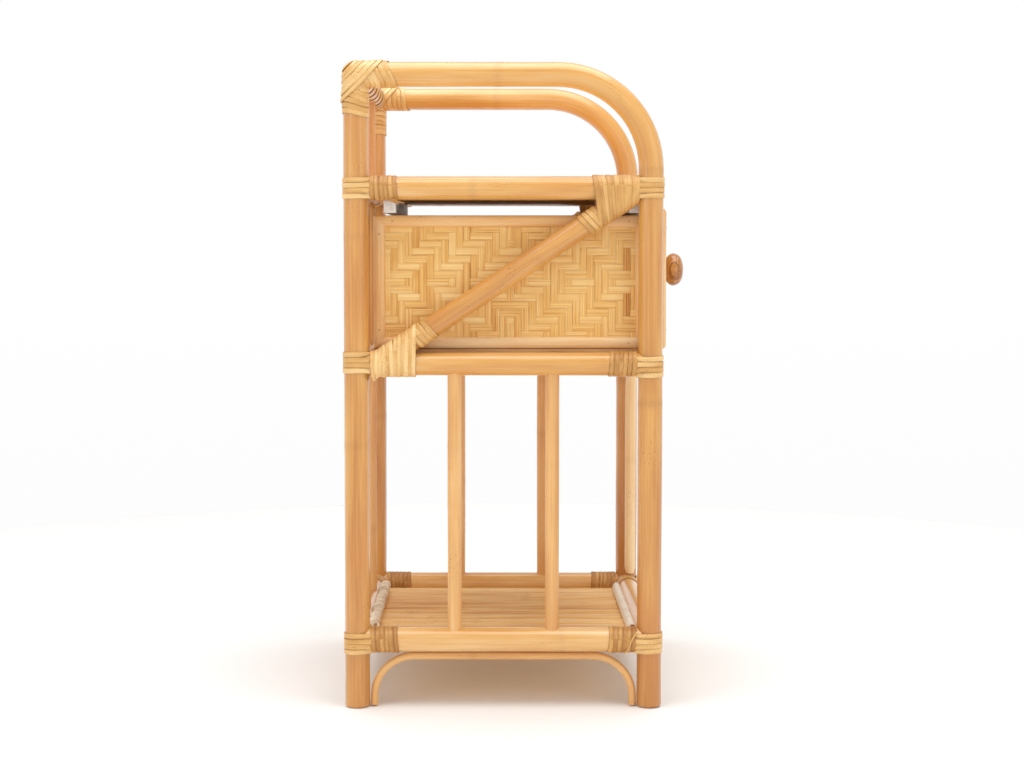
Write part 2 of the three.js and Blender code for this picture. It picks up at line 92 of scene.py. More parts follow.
def tint(red: float, green: float, blue: float) -> tuple[float, float, float, float]:
    """Turns a paint-chart colour into the light values that a shader takes.

    Args:
        red: Red from 0 to 255.
        green: Green from 0 to 255.
        blue: Blue from 0 to 255.

    Returns:
        The colour as linear red, green, blue and a full alpha.
    """
    parts = []
    for level in (red, green, blue):
        share = level / 255
        parts.append(share / 12.92 if share <= 0.04045 else ((share + 0.055) / 1.055) ** 2.4)
    return (parts[0], parts[1], parts[2], 1.0)


def unit(vector: Sequence[float]) -> np.ndarray:
    """Returns the vector at length one."""
    array = np.asarray(vector, float)
    return array / np.linalg.norm(array)


def unit_rows(rows: np.ndarray) -> np.ndarray:
    """Returns each row at length one."""
    return rows / np.linalg.norm(rows, axis=1, keepdims=True)


def path_lengths(points: np.ndarray) -> np.ndarray:
    """Returns the distance along a line of points, at each point."""
    return np.r_[0, np.cumsum(np.linalg.norm(np.diff(points, axis=0), axis=1))]


def full_circle(count: int) -> np.ndarray:
    """Returns evenly spaced angles once round."""
    return np.linspace(0, FULL_TURN, count, endpoint=False)


def ripple(along: np.ndarray, seed: int, longest: float) -> np.ndarray:
    """Makes a soft irregular wave for hand-made pieces.

    Args:
        along: Places along the piece.
        seed: Picks the wave.
        longest: Length of the longest wave.

    Returns:
        A value from about -1 to 1 at each place.
    """
    rng = np.random.default_rng(seed)
    total = np.zeros_like(along)
    for octave, share in ((1.0, 0.55), (2.3, 0.3), (4.9, 0.15)):
        total += share * np.sin(FULL_TURN * along * octave / longest + rng.uniform(0, 6.28))
    return total


# ---- Meshes -------------------------------------------------------------------------------


@dataclass(frozen=True)
class Route:
    """A centre line as close points, with two directions across it at each point."""

    points: np.ndarray
    along: np.ndarray
    side: np.ndarray
    out: np.ndarray
    step: ClassVar[float] = 0.007
    degrees_apart: ClassVar[float] = 5.0
    closest: ClassVar[float] = 4e-5

    @property
    def length(self) -> float:
        """The centre line's length."""
        return float(self.along[-1])

    @classmethod
    def through(
        cls,
        corners: Sequence[Sequence[float]],
        bend: float = 0.0,
        extra: Sequence[float] = (),
    ) -> "Route":
        """Runs a centre line through corners, rounding each one.

        Args:
            corners: The corner points in order.
            bend: Centre-line radius at the inner corners.
            extra: Distances from each end that also get a point.

        Returns:
            The route.
        """
        path = [np.asarray(corners[0], float)]
        for before, here, after in zip(corners[:-2], corners[1:-1], corners[2:], strict=True):
            here = np.asarray(here, float)
            toward, away = unit(here - before), unit(np.asarray(after) - here)
            turn = math.acos(float(np.clip(toward @ away, -1, 1)))
            reach = bend * math.tan(turn / 2)
            start = here - toward * reach
            inward = unit(away - toward * float(toward @ away))
            centre = start + inward * bend
            count = max(4, int(math.degrees(turn) / cls.degrees_apart))
            for angle in np.linspace(0, turn, count + 1):
                path.append(centre - inward * bend * math.cos(angle) + toward * bend * math.sin(angle))
        path.append(np.asarray(corners[-1], float))
        knots = np.array(path)
        lengths = path_lengths(knots)
        total = lengths[-1]
        places = set(np.round(np.linspace(0, total, max(2, math.ceil(total / cls.step) + 1)), 6))
        places |= {round(place, 6) for place in lengths}
        places |= {round(e, 6) for e in extra} | {round(total - e, 6) for e in extra}
        along = np.array(sorted(p for p in places if -1e-9 <= p <= total + 1e-9))
        along = along[np.r_[True, np.diff(along) > cls.closest]]
        points = np.stack([np.interp(along, lengths, knots[:, k]) for k in range(3)], axis=1)
        return cls.along_points(points)

    @classmethod
    def along_points(cls, points: np.ndarray) -> "Route":
        """Gives a line of points its directions, turned as little as possible.

        Args:
            points: The centre line's points.

        Returns:
            The route.
        """
        ahead = unit_rows(np.gradient(points, axis=0))
        side = np.zeros_like(points)
        current = ACROSS if abs(ahead[0][0]) < 0.8 else UP
        for index, direction in enumerate(ahead):
            current = unit(current - direction * float(current @ direction))
            side[index] = current
        return cls(points, path_lengths(points), side, np.cross(ahead, side))


class PieceMesh:
    """Gathers the surfaces of one piece, with each point's place along its grain."""

    def __init__(self) -> None:
        """Starts an empty piece."""
        self.points: list[np.ndarray] = []
        self.grain: list[np.ndarray] = []
        self.tone: list[np.ndarray] = []
        self.mark: list[np.ndarray] = []
        self.faces: list[tuple[int, ...]] = []
        self.slots: list[int] = []
        self.count = 0

    def add_points(self, points: np.ndarray, grain: np.ndarray, tone: float | np.ndarray, mark: np.ndarray) -> int:
        """Adds points and returns the first one's number.

        Args:
            points: The points, one row each.
            grain: Each point's place in the material.
            tone: How deep the colour is, from 0 to 1.
            mark: Each point's share of the finish's second colour.

        Returns:
            The number of the first point.
        """
        start = self.count
        self.points.append(points.reshape(-1, 3))
        self.grain.append(grain.reshape(-1, 3))
        self.tone.append(np.broadcast_to(tone, len(self.points[-1])).astype(float))
        self.mark.append(mark.reshape(-1))
        self.count += len(self.points[-1])
        return start

    def add_rings(
        self,
        rings: np.ndarray,
        grain: np.ndarray,
        tone: float | np.ndarray,
        mark: np.ndarray | None = None,
        loop: bool = False,
        end_slot: int = 0,
    ) -> None:
        """Adds a closed skin over a row of rings.

        Args:
            rings: Points by ring and place in the ring.
            grain: The matching places in the material.
            tone: How deep the colour is, from 0 to 1, once or for each ring.
            mark: Share of the finish's second colour, by ring and place.
            loop: True if the last ring joins the first.
            end_slot: The finish number of the two ends.
        """
        many, around = rings.shape[:2]
        if mark is None:
            mark = np.zeros((many, around))
        tones = np.broadcast_to(tone, many)
        start = self.add_points(rings, grain, np.repeat(tones, around), mark)
        for i in range(many if loop else many - 1):
            a, b = start + i * around, start + ((i + 1) % many) * around
            for j in range(around):
                k = (j + 1) % around
                self.faces.append((a + j, a + k, b + k, b + j))
                self.slots.append(0)
        if loop:
            return
        for index in (0, many - 1):
            middle = self.add_points(
                rings[index].mean(axis=0), grain[index].mean(axis=0), tones[index], mark[index].mean(keepdims=True)
            )
            first = start + index * around
            for j in range(around):
                self.faces.append((middle, first + (j + 1) % around, first + j))
                self.slots.append(end_slot)

    def to_object(self, name: str) -> bpy.types.Object:
        """Turns the piece into an object that is linked to the scene.

        Args:
            name: The object's name.

        Returns:
            The new object.
        """
        mesh = bpy.data.meshes.new(name)
        mesh.from_pydata(np.concatenate(self.points).tolist(), [], self.faces)
        mesh.polygons.foreach_set("material_index", self.slots)
        for label, values in (("tone", self.tone), ("mark", self.mark)):
            layer = mesh.attributes.new(label, "FLOAT", "POINT")
            layer.data.foreach_set("value", np.concatenate(values).astype(np.float32))
        layer = mesh.attributes.new("grain", "FLOAT_VECTOR", "POINT")
        layer.data.foreach_set("vector", np.concatenate(self.grain).astype(np.float32).ravel())
        tidy = bmesh.new()
        tidy.from_mesh(mesh)
        bmesh.ops.recalc_face_normals(tidy, faces=tidy.faces)
        tidy.to_mesh(mesh)
        tidy.free()
        mesh.shade_smooth()
        mesh.set_sharp_from_angle(angle=math.radians(CREASE))
        piece = bpy.data.objects.new(name, mesh)
        bpy.context.scene.collection.objects.link(piece)
        return piece


@dataclass(frozen=True)
class Pole:
    """A round pole with growth nodes, a little uneven, its ends eased with a knife."""

    route: Route
    radius: float
    tone: float
    seed: int
    sides: int = 26
    ease_start: float = 0.0016
    ease_end: float = 0.0016
    knots: tuple[float, ...] | None = None
    uneven: float = 0.012
    deepen: float = 0.0
    knot_rise: ClassVar[float] = 0.016
    knot_mark: ClassVar[float] = 0.0028
    oval: ClassVar[float] = 0.007

    def knot_places(self) -> list[float]:
        """Where the growth nodes are along the pole.

        Returns:
            Distances from the start.
        """
        if self.knots is not None:
            return list(self.knots)
        rng = np.random.default_rng(self.seed + 77)
        places, at = [], rng.uniform(0.05, 0.2)
        while at < self.route.length - 0.02:
            places.append(at)
            at += rng.uniform(0.17, 0.29)
        return places

    def add_to(self, mesh: PieceMesh) -> None:
        """Adds the pole's skin to a piece.

        Args:
            mesh: The piece that it joins.
        """
        way = self.route
        radius = self.radius * (1 + self.uneven * ripple(way.along, self.seed, 0.31))
        mark = np.zeros_like(way.along)
        for place in self.knot_places():
            near = (way.along - place) / (0.0032 + self.radius * 0.08)
            radius = radius + self.radius * self.knot_rise * np.exp(-(near**2))
            mark = np.maximum(mark, np.exp(-(((way.along - place) / self.knot_mark) ** 2)))
        for ease, distance in ((self.ease_start, way.along), (self.ease_end, way.length - way.along)):
            if ease > 0:
                depth = np.clip(1 - distance / ease, 0, 1)
                radius = radius - ease * (1 - np.sqrt(np.clip(1 - depth**2, 0, 1)))
        turn = full_circle(self.sides)
        reach = radius[:, None] * (1 + self.oval * np.cos(2 * turn + self.seed))[None, :]
        across = reach * np.cos(turn)[None, :]
        outward = reach * np.sin(turn)[None, :]
        rings = way.points[:, None] + across[..., None] * way.side[:, None] + outward[..., None] * way.out[:, None]
        shift = np.random.default_rng(self.seed + 5).uniform(0, 3, 3)
        grain = np.stack([across, outward, np.broadcast_to(way.along[:, None], across.shape)], axis=-1) + shift
        tone = self.tone + self.deepen * way.along / way.length + 0.06 * ripple(way.along, self.seed + 9, 0.37)
        mesh.add_rings(rings, grain, tone, np.broadcast_to(mark[:, None], across.shape), end_slot=1)


def eased_places(ease: float) -> list[float]:
    """Distances from a pole's end that a rounded edge of that size needs."""
    return [ease * (1 - math.cos(math.radians(a))) for a in (18, 36, 54, 72, 90)]


STRAND_SHAPE = np.array(
    [
        (0.5, -0.12),
        (0.475, 0.2),
        (0.34, 0.42),
        (0.0, 0.5),
        (-0.34, 0.42),
        (-0.475, 0.2),
        (-0.5, -0.12),
        (-0.36, -0.5),
        (0.36, -0.5),
    ]
)
# Painted shade: each cross-section point's share of the dark groove colour, full at the strand's edges and underside
# where strands meet.
STRAND_SHADE = np.array([0.85, 0.4, 0.03, 0.0, 0.03, 0.4, 0.85, 1.0, 1.0])


def strand_profile(width: float, thick: float) -> np.ndarray:
    """Returns the cross-section of a flat cane strand, as distances across and outwards."""
    return STRAND_SHAPE * (width, thick)


def lay_strand(
    mesh: PieceMesh,
    points: np.ndarray,
    across: np.ndarray,
    outward: np.ndarray,
    along: np.ndarray,
    profile: np.ndarray,
    tone: float,
    shift: np.ndarray | float = 0.0,
    loop: bool = False,
) -> None:
    """Adds a flat strand that follows a line of points.

    Args:
        mesh: The piece that it joins.
        points: The strand's middle line.
        across: The way across the strand at each point.
        outward: The way off the surface at each point.
        along: Each point's place along the strand.
        profile: Its cross-section, once or for each point.
        tone: Its colour depth.
        shift: Moves its place in the material.
        loop: True if its end joins its start.
    """
    profile = np.broadcast_to(profile, (len(points), len(STRAND_SHAPE), 2))
    rings = points[:, None] + profile[..., :1] * across[:, None] + profile[..., 1:] * outward[:, None]
    places = np.broadcast_to(along[:, None, None], profile.shape[:2] + (1,))
    grain = np.concatenate([profile, places], axis=2) + shift
    mesh.add_rings(rings, grain, tone, np.broadcast_to(STRAND_SHADE, profile.shape[:2]), loop=loop)


@dataclass(frozen=True)
class Core:
    """A straight pole that strands are wound round, between two places along it."""

    point: np.ndarray
    direction: np.ndarray
    radius: float
    reach: tuple[float, float] = (-9.0, 9.0)

    def cut(self, centre: np.ndarray, normal: np.ndarray) -> tuple[np.ndarray, np.ndarray]:
        """Cuts the pole with a plane.

        Args:
            centre: A point of the plane.
            normal: The plane's direction.

        Returns:
            Points round the cut, and the way out of the pole at each.
        """
        a = unit(np.cross(self.direction, [0.31, 0.52, 0.79]))
        b = np.cross(self.direction, a)
        turn = full_circle(180)[:, None]
        outward = np.cos(turn) * a + np.sin(turn) * b
        edge = self.point + self.radius * outward
        travel = ((centre - edge) @ normal) / float(self.direction @ normal)
        inside = (travel >= self.reach[0]) & (travel <= self.reach[1])
        return (edge + travel[:, None] * self.direction)[inside], outward[inside]


@dataclass(frozen=True)
class Ball:
    """The rounded meeting of two poles, which strands are wound over."""

    point: np.ndarray
    radius: float

    def cut(self, centre: np.ndarray, normal: np.ndarray) -> tuple[np.ndarray, np.ndarray]:
        """Cuts the ball with a plane.

        Args:
            centre: A point of the plane.
            normal: The plane's direction.

        Returns:
            Points round the cut, and the way out of the ball at each.
        """
        offset = float((centre - self.point) @ normal)
        if abs(offset) >= self.radius:
            return np.zeros((0, 3)), np.zeros((0, 3))
        a = unit(np.cross(normal, [0.31, 0.52, 0.79]))
        turn = full_circle(120)[:, None]
        ring = math.sqrt(self.radius**2 - offset**2) * (np.cos(turn) * a + np.sin(turn) * np.cross(normal, a))
        return self.point + normal * offset + ring, (normal * offset + ring) / self.radius


@dataclass(frozen=True)
class Shoulders:
    """Places that a strand also passes round, where a rail joins the post."""

    points: np.ndarray

    def cut(self, centre: np.ndarray, normal: np.ndarray) -> tuple[np.ndarray, np.ndarray]:
        """Hands over the places, with no way out of their own."""
        return self.points, np.zeros_like(self.points)


@dataclass
class Winder:
    """Winds flat cane strands round poles, each strand a closed loop."""

    mesh: PieceMesh
    seed: int
    width: float = 0.0052
    thick: float = 0.0013
    steps: int = 44

    def __post_init__(self) -> None:
        """Starts the winder's own chance."""
        self.rng = np.random.default_rng(self.seed)

    def loop(
        self,
        cores: Sequence[Core | Ball | Shoulders],
        centre: Sequence[float],
        normal: Sequence[float],
        tone: float | None = None,
        lift: float = 0.0,
        width: float | None = None,
        slide: Callable[[np.ndarray], np.ndarray] | None = None,
    ) -> None:
        """Winds one strand once round some poles, flat on their skins.

        Args:
            cores: What is inside the loop.
            centre: A point of the loop's plane.
            normal: The direction that the loop's plane faces.
            tone: The strand's colour depth, or None to pick one.
            lift: How far it lies above the poles, over other strands.
            width: The strand's width, or None for the usual one.
            slide: Moves the loop's points, so that its two sides can lean differently.
        """
        face = unit(np.asarray(normal, float) + self.rng.normal(0, 0.014, 3))
        middle = np.asarray(centre, float)
        found = [core.cut(middle, face) for core in cores]
        cuts, leans = (np.concatenate(part) for part in zip(*found, strict=True))
        a = unit(np.cross(face, [0.11, 0.21, 0.97] if abs(face[2]) < 0.8 else [0.97, 0.21, 0.11]))
        b = np.cross(face, a)
        flat = np.stack([(cuts - middle) @ a, (cuts - middle) @ b], axis=1)
        turn = full_circle(180)
        ways = np.stack([np.cos(turn), np.sin(turn)], axis=1)
        pick = np.argmax(flat @ ways.T, axis=0)
        outward = leans[pick]
        bare = np.linalg.norm(outward, axis=1, keepdims=True) < 0.5
        outward = np.where(bare, ways[:, :1] * a + ways[:, 1:] * b, outward)
        thick = self.thick * self.rng.uniform(0.9, 1.12)
        wide = (width or self.width) * self.rng.uniform(0.96, 1.06)
        rise = lift + thick * 0.42 + 0.00012 * np.sin(turn * 2 + self.rng.uniform(0, 6))
        points = cuts[pick] + outward * rise[:, None]
        if slide is not None:
            points = slide(points)
        points, outward, along = self.even(points, outward)
        ahead = unit_rows(np.roll(points, -1, axis=0) - np.roll(points, 1, axis=0))
        outward = unit_rows(outward - ahead * np.sum(outward * ahead, axis=1, keepdims=True))
        shift = self.rng.uniform(0, 3, 3)
        shade = self.rng.uniform(0.2, 0.62) if tone is None else tone + self.rng.uniform(-0.16, 0.16)
        profile = strand_profile(wide, thick)
        lay_strand(self.mesh, points, np.cross(outward, ahead), outward, along, profile, float(shade), shift, True)

    def even(self, points: np.ndarray, outward: np.ndarray) -> tuple[np.ndarray, np.ndarray, np.ndarray]:
        """Spaces a loop's points evenly.

        Args:
            points: The loop's points.
            outward: The way out at each point.

        Returns:
            The spaced points, the smoothed ways out, and each point's place along the loop.
        """
        steps = np.linalg.norm(np.roll(points, -1, axis=0) - points, axis=1)
        places = np.r_[0, np.cumsum(steps)]
        along = np.linspace(0, places[-1], self.steps, endpoint=False)
        closed, ways = np.vstack([points, points[:1]]), np.vstack([outward, outward[:1]])
        spaced = np.stack([np.interp(along, places, closed[:, k]) for k in range(3)], axis=1)
        turned = np.stack([np.interp(along, places, ways[:, k]) for k in range(3)], axis=1)
        for _ in range(2):
            turned = (np.roll(turned, 1, axis=0) + 2 * turned + np.roll(turned, -1, axis=0)) / 4
        return spaced, turned, along

    def coil(
        self,
        core: Core,
        start: Sequence[float],
        end: Sequence[float],
        count: int,
        lean: Sequence[float] = (0.0, 0.0, 0.0),
        tone: float | None = None,
        lift: float = 0.0,
    ) -> None:
        """Winds a row of loops round one pole.

        Args:
            core: The pole.
            start: Middle of the first loop.
            end: Middle of the last loop.
            count: How many loops there are.
            lean: Added to the pole's direction to tip the loops.
            tone: The strands' colour depth, or None to vary it.
            lift: How far they lie above the pole.
        """
        first, last = np.asarray(start, float), np.asarray(end, float)
        spacing = float(np.linalg.norm(last - first)) / max(1, count - 1)
        for share in np.linspace(0, 1, count):
            self.loop(
                [core],
                first + (last - first) * share,
                core.direction + np.asarray(lean, float),
                tone,
                lift,
                spacing * 0.99 if count > 1 else None,
            )


# ---- Finishes -----------------------------------------------------------------------------


class Graph:
    """Writes the nodes of one finish or of the room."""

    def __init__(self, owner: bpy.types.Material | bpy.types.World, shader: str) -> None:
        """Starts from the shader that a new material or world already has.

        Args:
            owner: The new material or world.
            shader: Name of its shader node.
        """
        owner.use_nodes = True
        self.owner, self.tree = owner, owner.node_tree
        self.shader = self.tree.nodes[shader]

    @classmethod
    def finish_named(cls, name: str) -> "Graph":
        """Starts a finish."""
        return cls(bpy.data.materials.new(name), "Principled BSDF")

    def node(self, kind: str, **settings: object) -> bpy.types.Node:
        """Adds a node and sets its options.

        Args:
            kind: The node's type.
            settings: Its options.

        Returns:
            The new node.
        """
        made = self.tree.nodes.new(kind)
        for key, value in settings.items():
            setattr(made, key, value)
        return made

    def feed(self, socket: bpy.types.NodeSocket, value: object) -> None:
        """Links an output to a socket, or sets the socket to a value.

        Args:
            socket: The input to fill.
            value: An output or a plain value.
        """
        if isinstance(value, bpy.types.NodeSocket):
            self.tree.links.new(value, socket)
        else:
            socket.default_value = value

    def read(self, label: str, vector: bool = False) -> bpy.types.NodeSocket:
        """Reads one of the piece's own layers of values."""
        made = self.node("ShaderNodeAttribute", attribute_name=label)
        return made.outputs["Vector" if vector else "Fac"]

    def place(self) -> bpy.types.NodeSocket:
        """Reads the point's own place on its object."""
        return self.node("ShaderNodeTexCoord").outputs["Object"]

    def stretch(self, vector: object, scale: Sequence[float]) -> bpy.types.NodeSocket:
        """Multiplies a place by a scale for each axis.

        Args:
            vector: The place.
            scale: The scale for each axis.

        Returns:
            The stretched place.
        """
        made = self.node("ShaderNodeVectorMath", operation="MULTIPLY")
        self.feed(made.inputs[0], vector)
        made.inputs[1].default_value = scale
        return made.outputs[0]

    def noise(
        self, vector: object, scale: Sequence[float], detail: float = 2.0, twist: float = 0.0
    ) -> bpy.types.NodeSocket:
        """Makes cloudy noise, finer along the axes with the larger scales.

        Args:
            vector: The place to read.
            scale: Waves in each metre, by axis.
            detail: How many finer layers are added.
            twist: How far the noise is bent by itself.

        Returns:
            The noise, spread over about 0 to 1.
        """
        made = self.node("ShaderNodeTexNoise")
        self.feed(made.inputs["Vector"], self.stretch(vector, scale))
        made.inputs["Scale"].default_value = 1.0
        made.inputs["Detail"].default_value = detail
        made.inputs["Distortion"].default_value = twist
        return self.remap(made.outputs["Fac"], 0.28, 0.72)

    def remap(
        self, value: object, low: float, high: float, to_low: float = 0.0, to_high: float = 1.0, ease: str = "LINEAR"
    ) -> bpy.types.NodeSocket:
        """Spreads a range of a value over another range, clamped.

        Args:
            value: The value.
            low: Start of its range.
            high: End of its range.
            to_low: What the start becomes.
            to_high: What the end becomes.
            ease: How the steps between are spread.

        Returns:
            The new value.
        """
        made = self.node("ShaderNodeMapRange", interpolation_type=ease)
        self.feed(made.inputs["Value"], value)
        ends = {"From Min": low, "From Max": high, "To Min": to_low, "To Max": to_high}
        for label, number in ends.items():
            made.inputs[label].default_value = number
        return made.outputs["Result"]

    def math(self, operation: str, first: object, second: object) -> bpy.types.NodeSocket:
        """Works out one sum.

        Args:
            operation: The sum's name.
            first: The first value.
            second: The second value.

        Returns:
            The answer.
        """
        made = self.node("ShaderNodeMath", operation=operation)
        self.feed(made.inputs[0], first)
        self.feed(made.inputs[1], second)
        return made.outputs[0]

    def total(self, *terms: tuple[object, float]) -> bpy.types.NodeSocket | float:
        """Adds up values, each less a half and times its weight, on top of the first.

        Args:
            terms: Each value and its weight.

        Returns:
            The sum.
        """
        result: object = terms[0][0]
        for value, weight in terms[1:]:
            swing = self.math("MULTIPLY", self.math("SUBTRACT", value, 0.5), weight)
            result = self.math("ADD", result, swing)
        return result

    def ramp(self, value: object, *charts: Chart, places: Sequence[float] | None = None) -> bpy.types.NodeSocket:
        """Turns a value into a colour.

        Args:
            value: The value.
            charts: Paint-chart colours from low to high.
            places: Where each colour stands, or None to space them evenly.

        Returns:
            The colour.
        """
        places = np.linspace(0, 1, len(charts)).tolist() if places is None else places
        stops = [(place, tint(*chart)) for place, chart in zip(places, charts, strict=True)]
        made = self.node("ShaderNodeValToRGB")
        self.feed(made.inputs["Fac"], value)
        band = made.color_ramp
        band.elements[0].position, band.elements[0].color = stops[0]
        band.elements[1].position, band.elements[1].color = stops[-1]
        for position, colour in stops[1:-1]:
            band.elements.new(position).color = colour
        return made.outputs["Color"]

    def stain(self, colour: object, chart: Chart, share: object, weight: object = 1.0) -> bpy.types.NodeSocket:
        """Lays a paint-chart colour over another colour.

        Args:
            colour: The colour below.
            chart: The paint-chart colour.
            share: Where it lies, from 0 to 1.
            weight: How much of it shows there.

        Returns:
            The mixed colour.
        """
        made = self.node("ShaderNodeMix", data_type="RGBA", clamp_factor=True)
        self.feed(made.inputs[0], self.math("MULTIPLY", share, weight))
        self.feed(made.inputs[6], colour)
        self.feed(made.inputs[7], tint(*chart))
        return made.outputs[2]

    def bump(
        self, height: object, depth: float, strength: float = 1.0, under: object | None = None
    ) -> bpy.types.NodeSocket:
        """Raises the surface by a height that runs from 0 to 1.

        Args:
            height: The height.
            depth: What a height of 1 measures.
            strength: How much of it shows.
            under: A bumped direction that it adds to.

        Returns:
            The bumped surface direction.
        """
        made = self.node("ShaderNodeBump")
        self.feed(made.inputs["Height"], height)
        made.inputs["Distance"].default_value = depth
        made.inputs["Strength"].default_value = strength
        if under is not None:
            self.feed(made.inputs["Normal"], under)
        return made.outputs["Normal"]

    def finish(
        self, colour: object, roughness: object, normal: object, coat: float = 0.0, coat_roughness: float = 0.3
    ) -> bpy.types.Material:
        """Sets the shader and hands over the finish.

        Args:
            colour: The surface colour.
            roughness: The roughness.
            normal: The bumped surface direction.
            coat: How much clear varnish lies on top.
            coat_roughness: How dull the varnish is.

        Returns:
            The finished material.
        """
        self.feed(self.shader.inputs["Base Color"], colour)
        self.feed(self.shader.inputs["Roughness"], roughness)
        self.feed(self.shader.inputs["Normal"], normal)
        self.shader.inputs["Coat Weight"].default_value = coat
        self.shader.inputs["Coat Roughness"].default_value = coat_roughness
        self.shader.inputs["Specular IOR Level"].default_value = 0.45
        return self.owner


@dataclass(frozen=True)
class RattanSkin:
    """Varnished rattan with its own skin: long fibres, cloudy tone and specked growth nodes."""

    name: str = "varnished_rattan_skin"
    slot: str = "rattan_pole"
    pale: Chart = (241, 200, 142)
    honey: Chart = (223, 165, 84)
    deep: Chart = (192, 124, 50)
    coat: float = 0.9
    lines: float = 0.27

    def make(self) -> bpy.types.Material:
        """Writes the finish.

        Returns:
            The finished material.
        """
        g = Graph.finish_named(self.name)
        grain, tone, mark = g.read("grain", True), g.read("tone"), g.read("mark")
        cloud = g.noise(grain, (55, 55, 8), 2)
        streak = g.noise(grain, (520, 520, 9), 3, 0.5)
        fibre = g.noise(grain, (1700, 1700, 26), 2)
        depth = g.total((tone, 1.0), (cloud, 0.42), (streak, self.lines), (fibre, self.lines * 0.6))
        colour = g.ramp(depth, self.pale, self.honey, self.deep)
        rosy = g.remap(g.noise(grain, (20, 20, 9), 1), 0.6, 1.0)
        colour = g.stain(colour, (210, 122, 44), rosy, 0.2)
        patch = g.remap(g.noise(grain, (34, 34, 16), 1), 0.74, 0.98)
        dot = g.remap(g.noise(grain, (950, 950, 420), 1), 0.82, 0.97)
        specks = g.math("MULTIPLY", patch, dot)
        ring = g.math("MULTIPLY", mark, g.noise(grain, (700, 700, 900), 2))
        colour = g.stain(colour, (104, 62, 30), specks, 0.6)
        colour = g.stain(colour, (134, 84, 42), ring, 0.34)
        rough = g.math("ADD", g.remap(streak, 0, 1, 0.34, 0.46), g.math("MULTIPLY", ring, 0.2))
        lumps = g.bump(g.noise(grain, (150, 150, 40), 2), 0.00035, 0.5)
        fine = g.bump(g.total((fibre, 1.0), (streak, 0.8)), 0.00006, 0.8, lumps)
        return g.finish(colour, rough, fine, self.coat, 0.2)


@dataclass(frozen=True)
class PoleEnd:
    """The sawn end of a pole, full of pores."""

    name: str = "sawn_pole_end"
    slot: str = "rattan_pole"

    def make(self) -> bpy.types.Material:
        """Writes the finish.

        Returns:
            The finished material.
        """
        g = Graph.finish_named(self.name)
        grain = g.read("grain", True)
        pores = g.remap(g.noise(grain, (1500, 1500, 1), 1), 0.55, 0.85)
        cloud = g.noise(grain, (160, 160, 1), 2)
        colour = g.stain(g.ramp(cloud, (205, 160, 108), (180, 130, 82)), (118, 76, 42), pores)
        return g.finish(colour, g.remap(cloud, 0, 1, 0.7, 0.85), g.bump(pores, 0.0002, -0.5))


@dataclass(frozen=True)
class CaneStrand:
    """Flat cane binding: pale, finely lined along, with painted shade darkening its edges and underside where strands
    meet.
    """

    name: str = "cane_binding"
    slot: str = "cane_lashing"
    pale: Chart = (244, 206, 142)
    middle: Chart = (220, 168, 94)
    deep: Chart = (180, 123, 56)
    groove_shade: Chart = (122, 70, 28)
    coat: float = 0.35

    def make(self) -> bpy.types.Material:
        """Writes the finish.

        Returns:
            The finished material.
        """
        g = Graph.finish_named(self.name)
        grain, tone, mark = g.read("grain", True), g.read("tone"), g.read("mark")
        lines = g.noise(grain, (1300, 1300, 14), 2)
        cloud = g.noise(grain, (90, 90, 32), 2)
        depth = g.total((tone, 1.0), (cloud, 0.46), (lines, 0.34))
        # Painted shade: the mark layer darkens the strand's edges and underside, where strands meet.
        colour = g.stain(g.ramp(depth, self.pale, self.middle, self.deep), self.groove_shade, mark, 0.7)
        dot = g.remap(g.noise(grain, (700, 700, 420), 1), 0.92, 1.0)
        colour = g.stain(colour, (110, 66, 32), dot, 0.4)
        rough = g.remap(cloud, 0, 1, 0.38, 0.55)
        return g.finish(colour, rough, g.bump(lines, 0.00006, 0.9), self.coat, 0.3)


@dataclass(frozen=True)
class WovenSplit:
    """Split bamboo for weaving: satin, with a few clear lines along each strand."""

    name: str = "woven_bamboo_split"
    slot: str = "bamboo_weave"

    def make(self) -> bpy.types.Material:
        """Writes the finish.

        Returns:
            The finished material.
        """
        g = Graph.finish_named(self.name)
        grain, tone, mark = g.read("grain", True), g.read("tone"), g.read("mark")
        lines = g.noise(grain, (950, 10, 6), 2)
        hair = g.noise(grain, (3200, 10, 22), 1)
        cloud = g.noise(grain, (60, 10, 30), 2)
        depth = g.total((tone, 0.8), (cloud, 0.24), (lines, 0.56), (hair, 0.36))
        charts = ((248, 212, 144), (236, 184, 100), (214, 148, 62), (168, 96, 32))
        colour = g.ramp(depth, *charts, places=(0.0, 0.4, 0.75, 1.0))
        colour = g.stain(colour, (190, 126, 54), g.remap(lines, 0.72, 1.0), 0.4)
        # Painted shade: the mark layer darkens each strand's side edges where strands meet.
        colour = g.stain(colour, (170, 106, 40), mark, 0.3)
        rough = g.remap(cloud, 0, 1, 0.4, 0.56)
        return g.finish(colour, rough, g.bump(g.total((lines, 1.0), (hair, 0.4)), 0.00009, 0.8), 0.2, 0.3)


@dataclass(frozen=True)
class SawnWood:
    """Plain light wood with grain along one axis."""

    name: str = "light_sawn_wood"
    slot: str = "raw_wood"
    scale: tuple[float, float, float] = (240, 9, 240)
    pale: Chart = (236, 204, 158)
    deep: Chart = (198, 150, 98)

    def make(self) -> bpy.types.Material:
        """Writes the finish.

        Returns:
            The finished material.
        """
        g = Graph.finish_named(self.name)
        place = g.place()
        bands = g.noise(place, self.scale, 3, 0.6)
        pores = g.noise(place, tuple(s * 5 for s in self.scale), 1)
        cloud = g.noise(place, (18, 18, 18), 1)
        depth = g.total((bands, 1.0), (cloud, 0.4), (pores, 0.3))
        colour = g.ramp(depth, self.pale, self.deep)
        return g.finish(colour, g.remap(bands, 0, 1, 0.52, 0.68), g.bump(depth, 0.00012, 0.6))


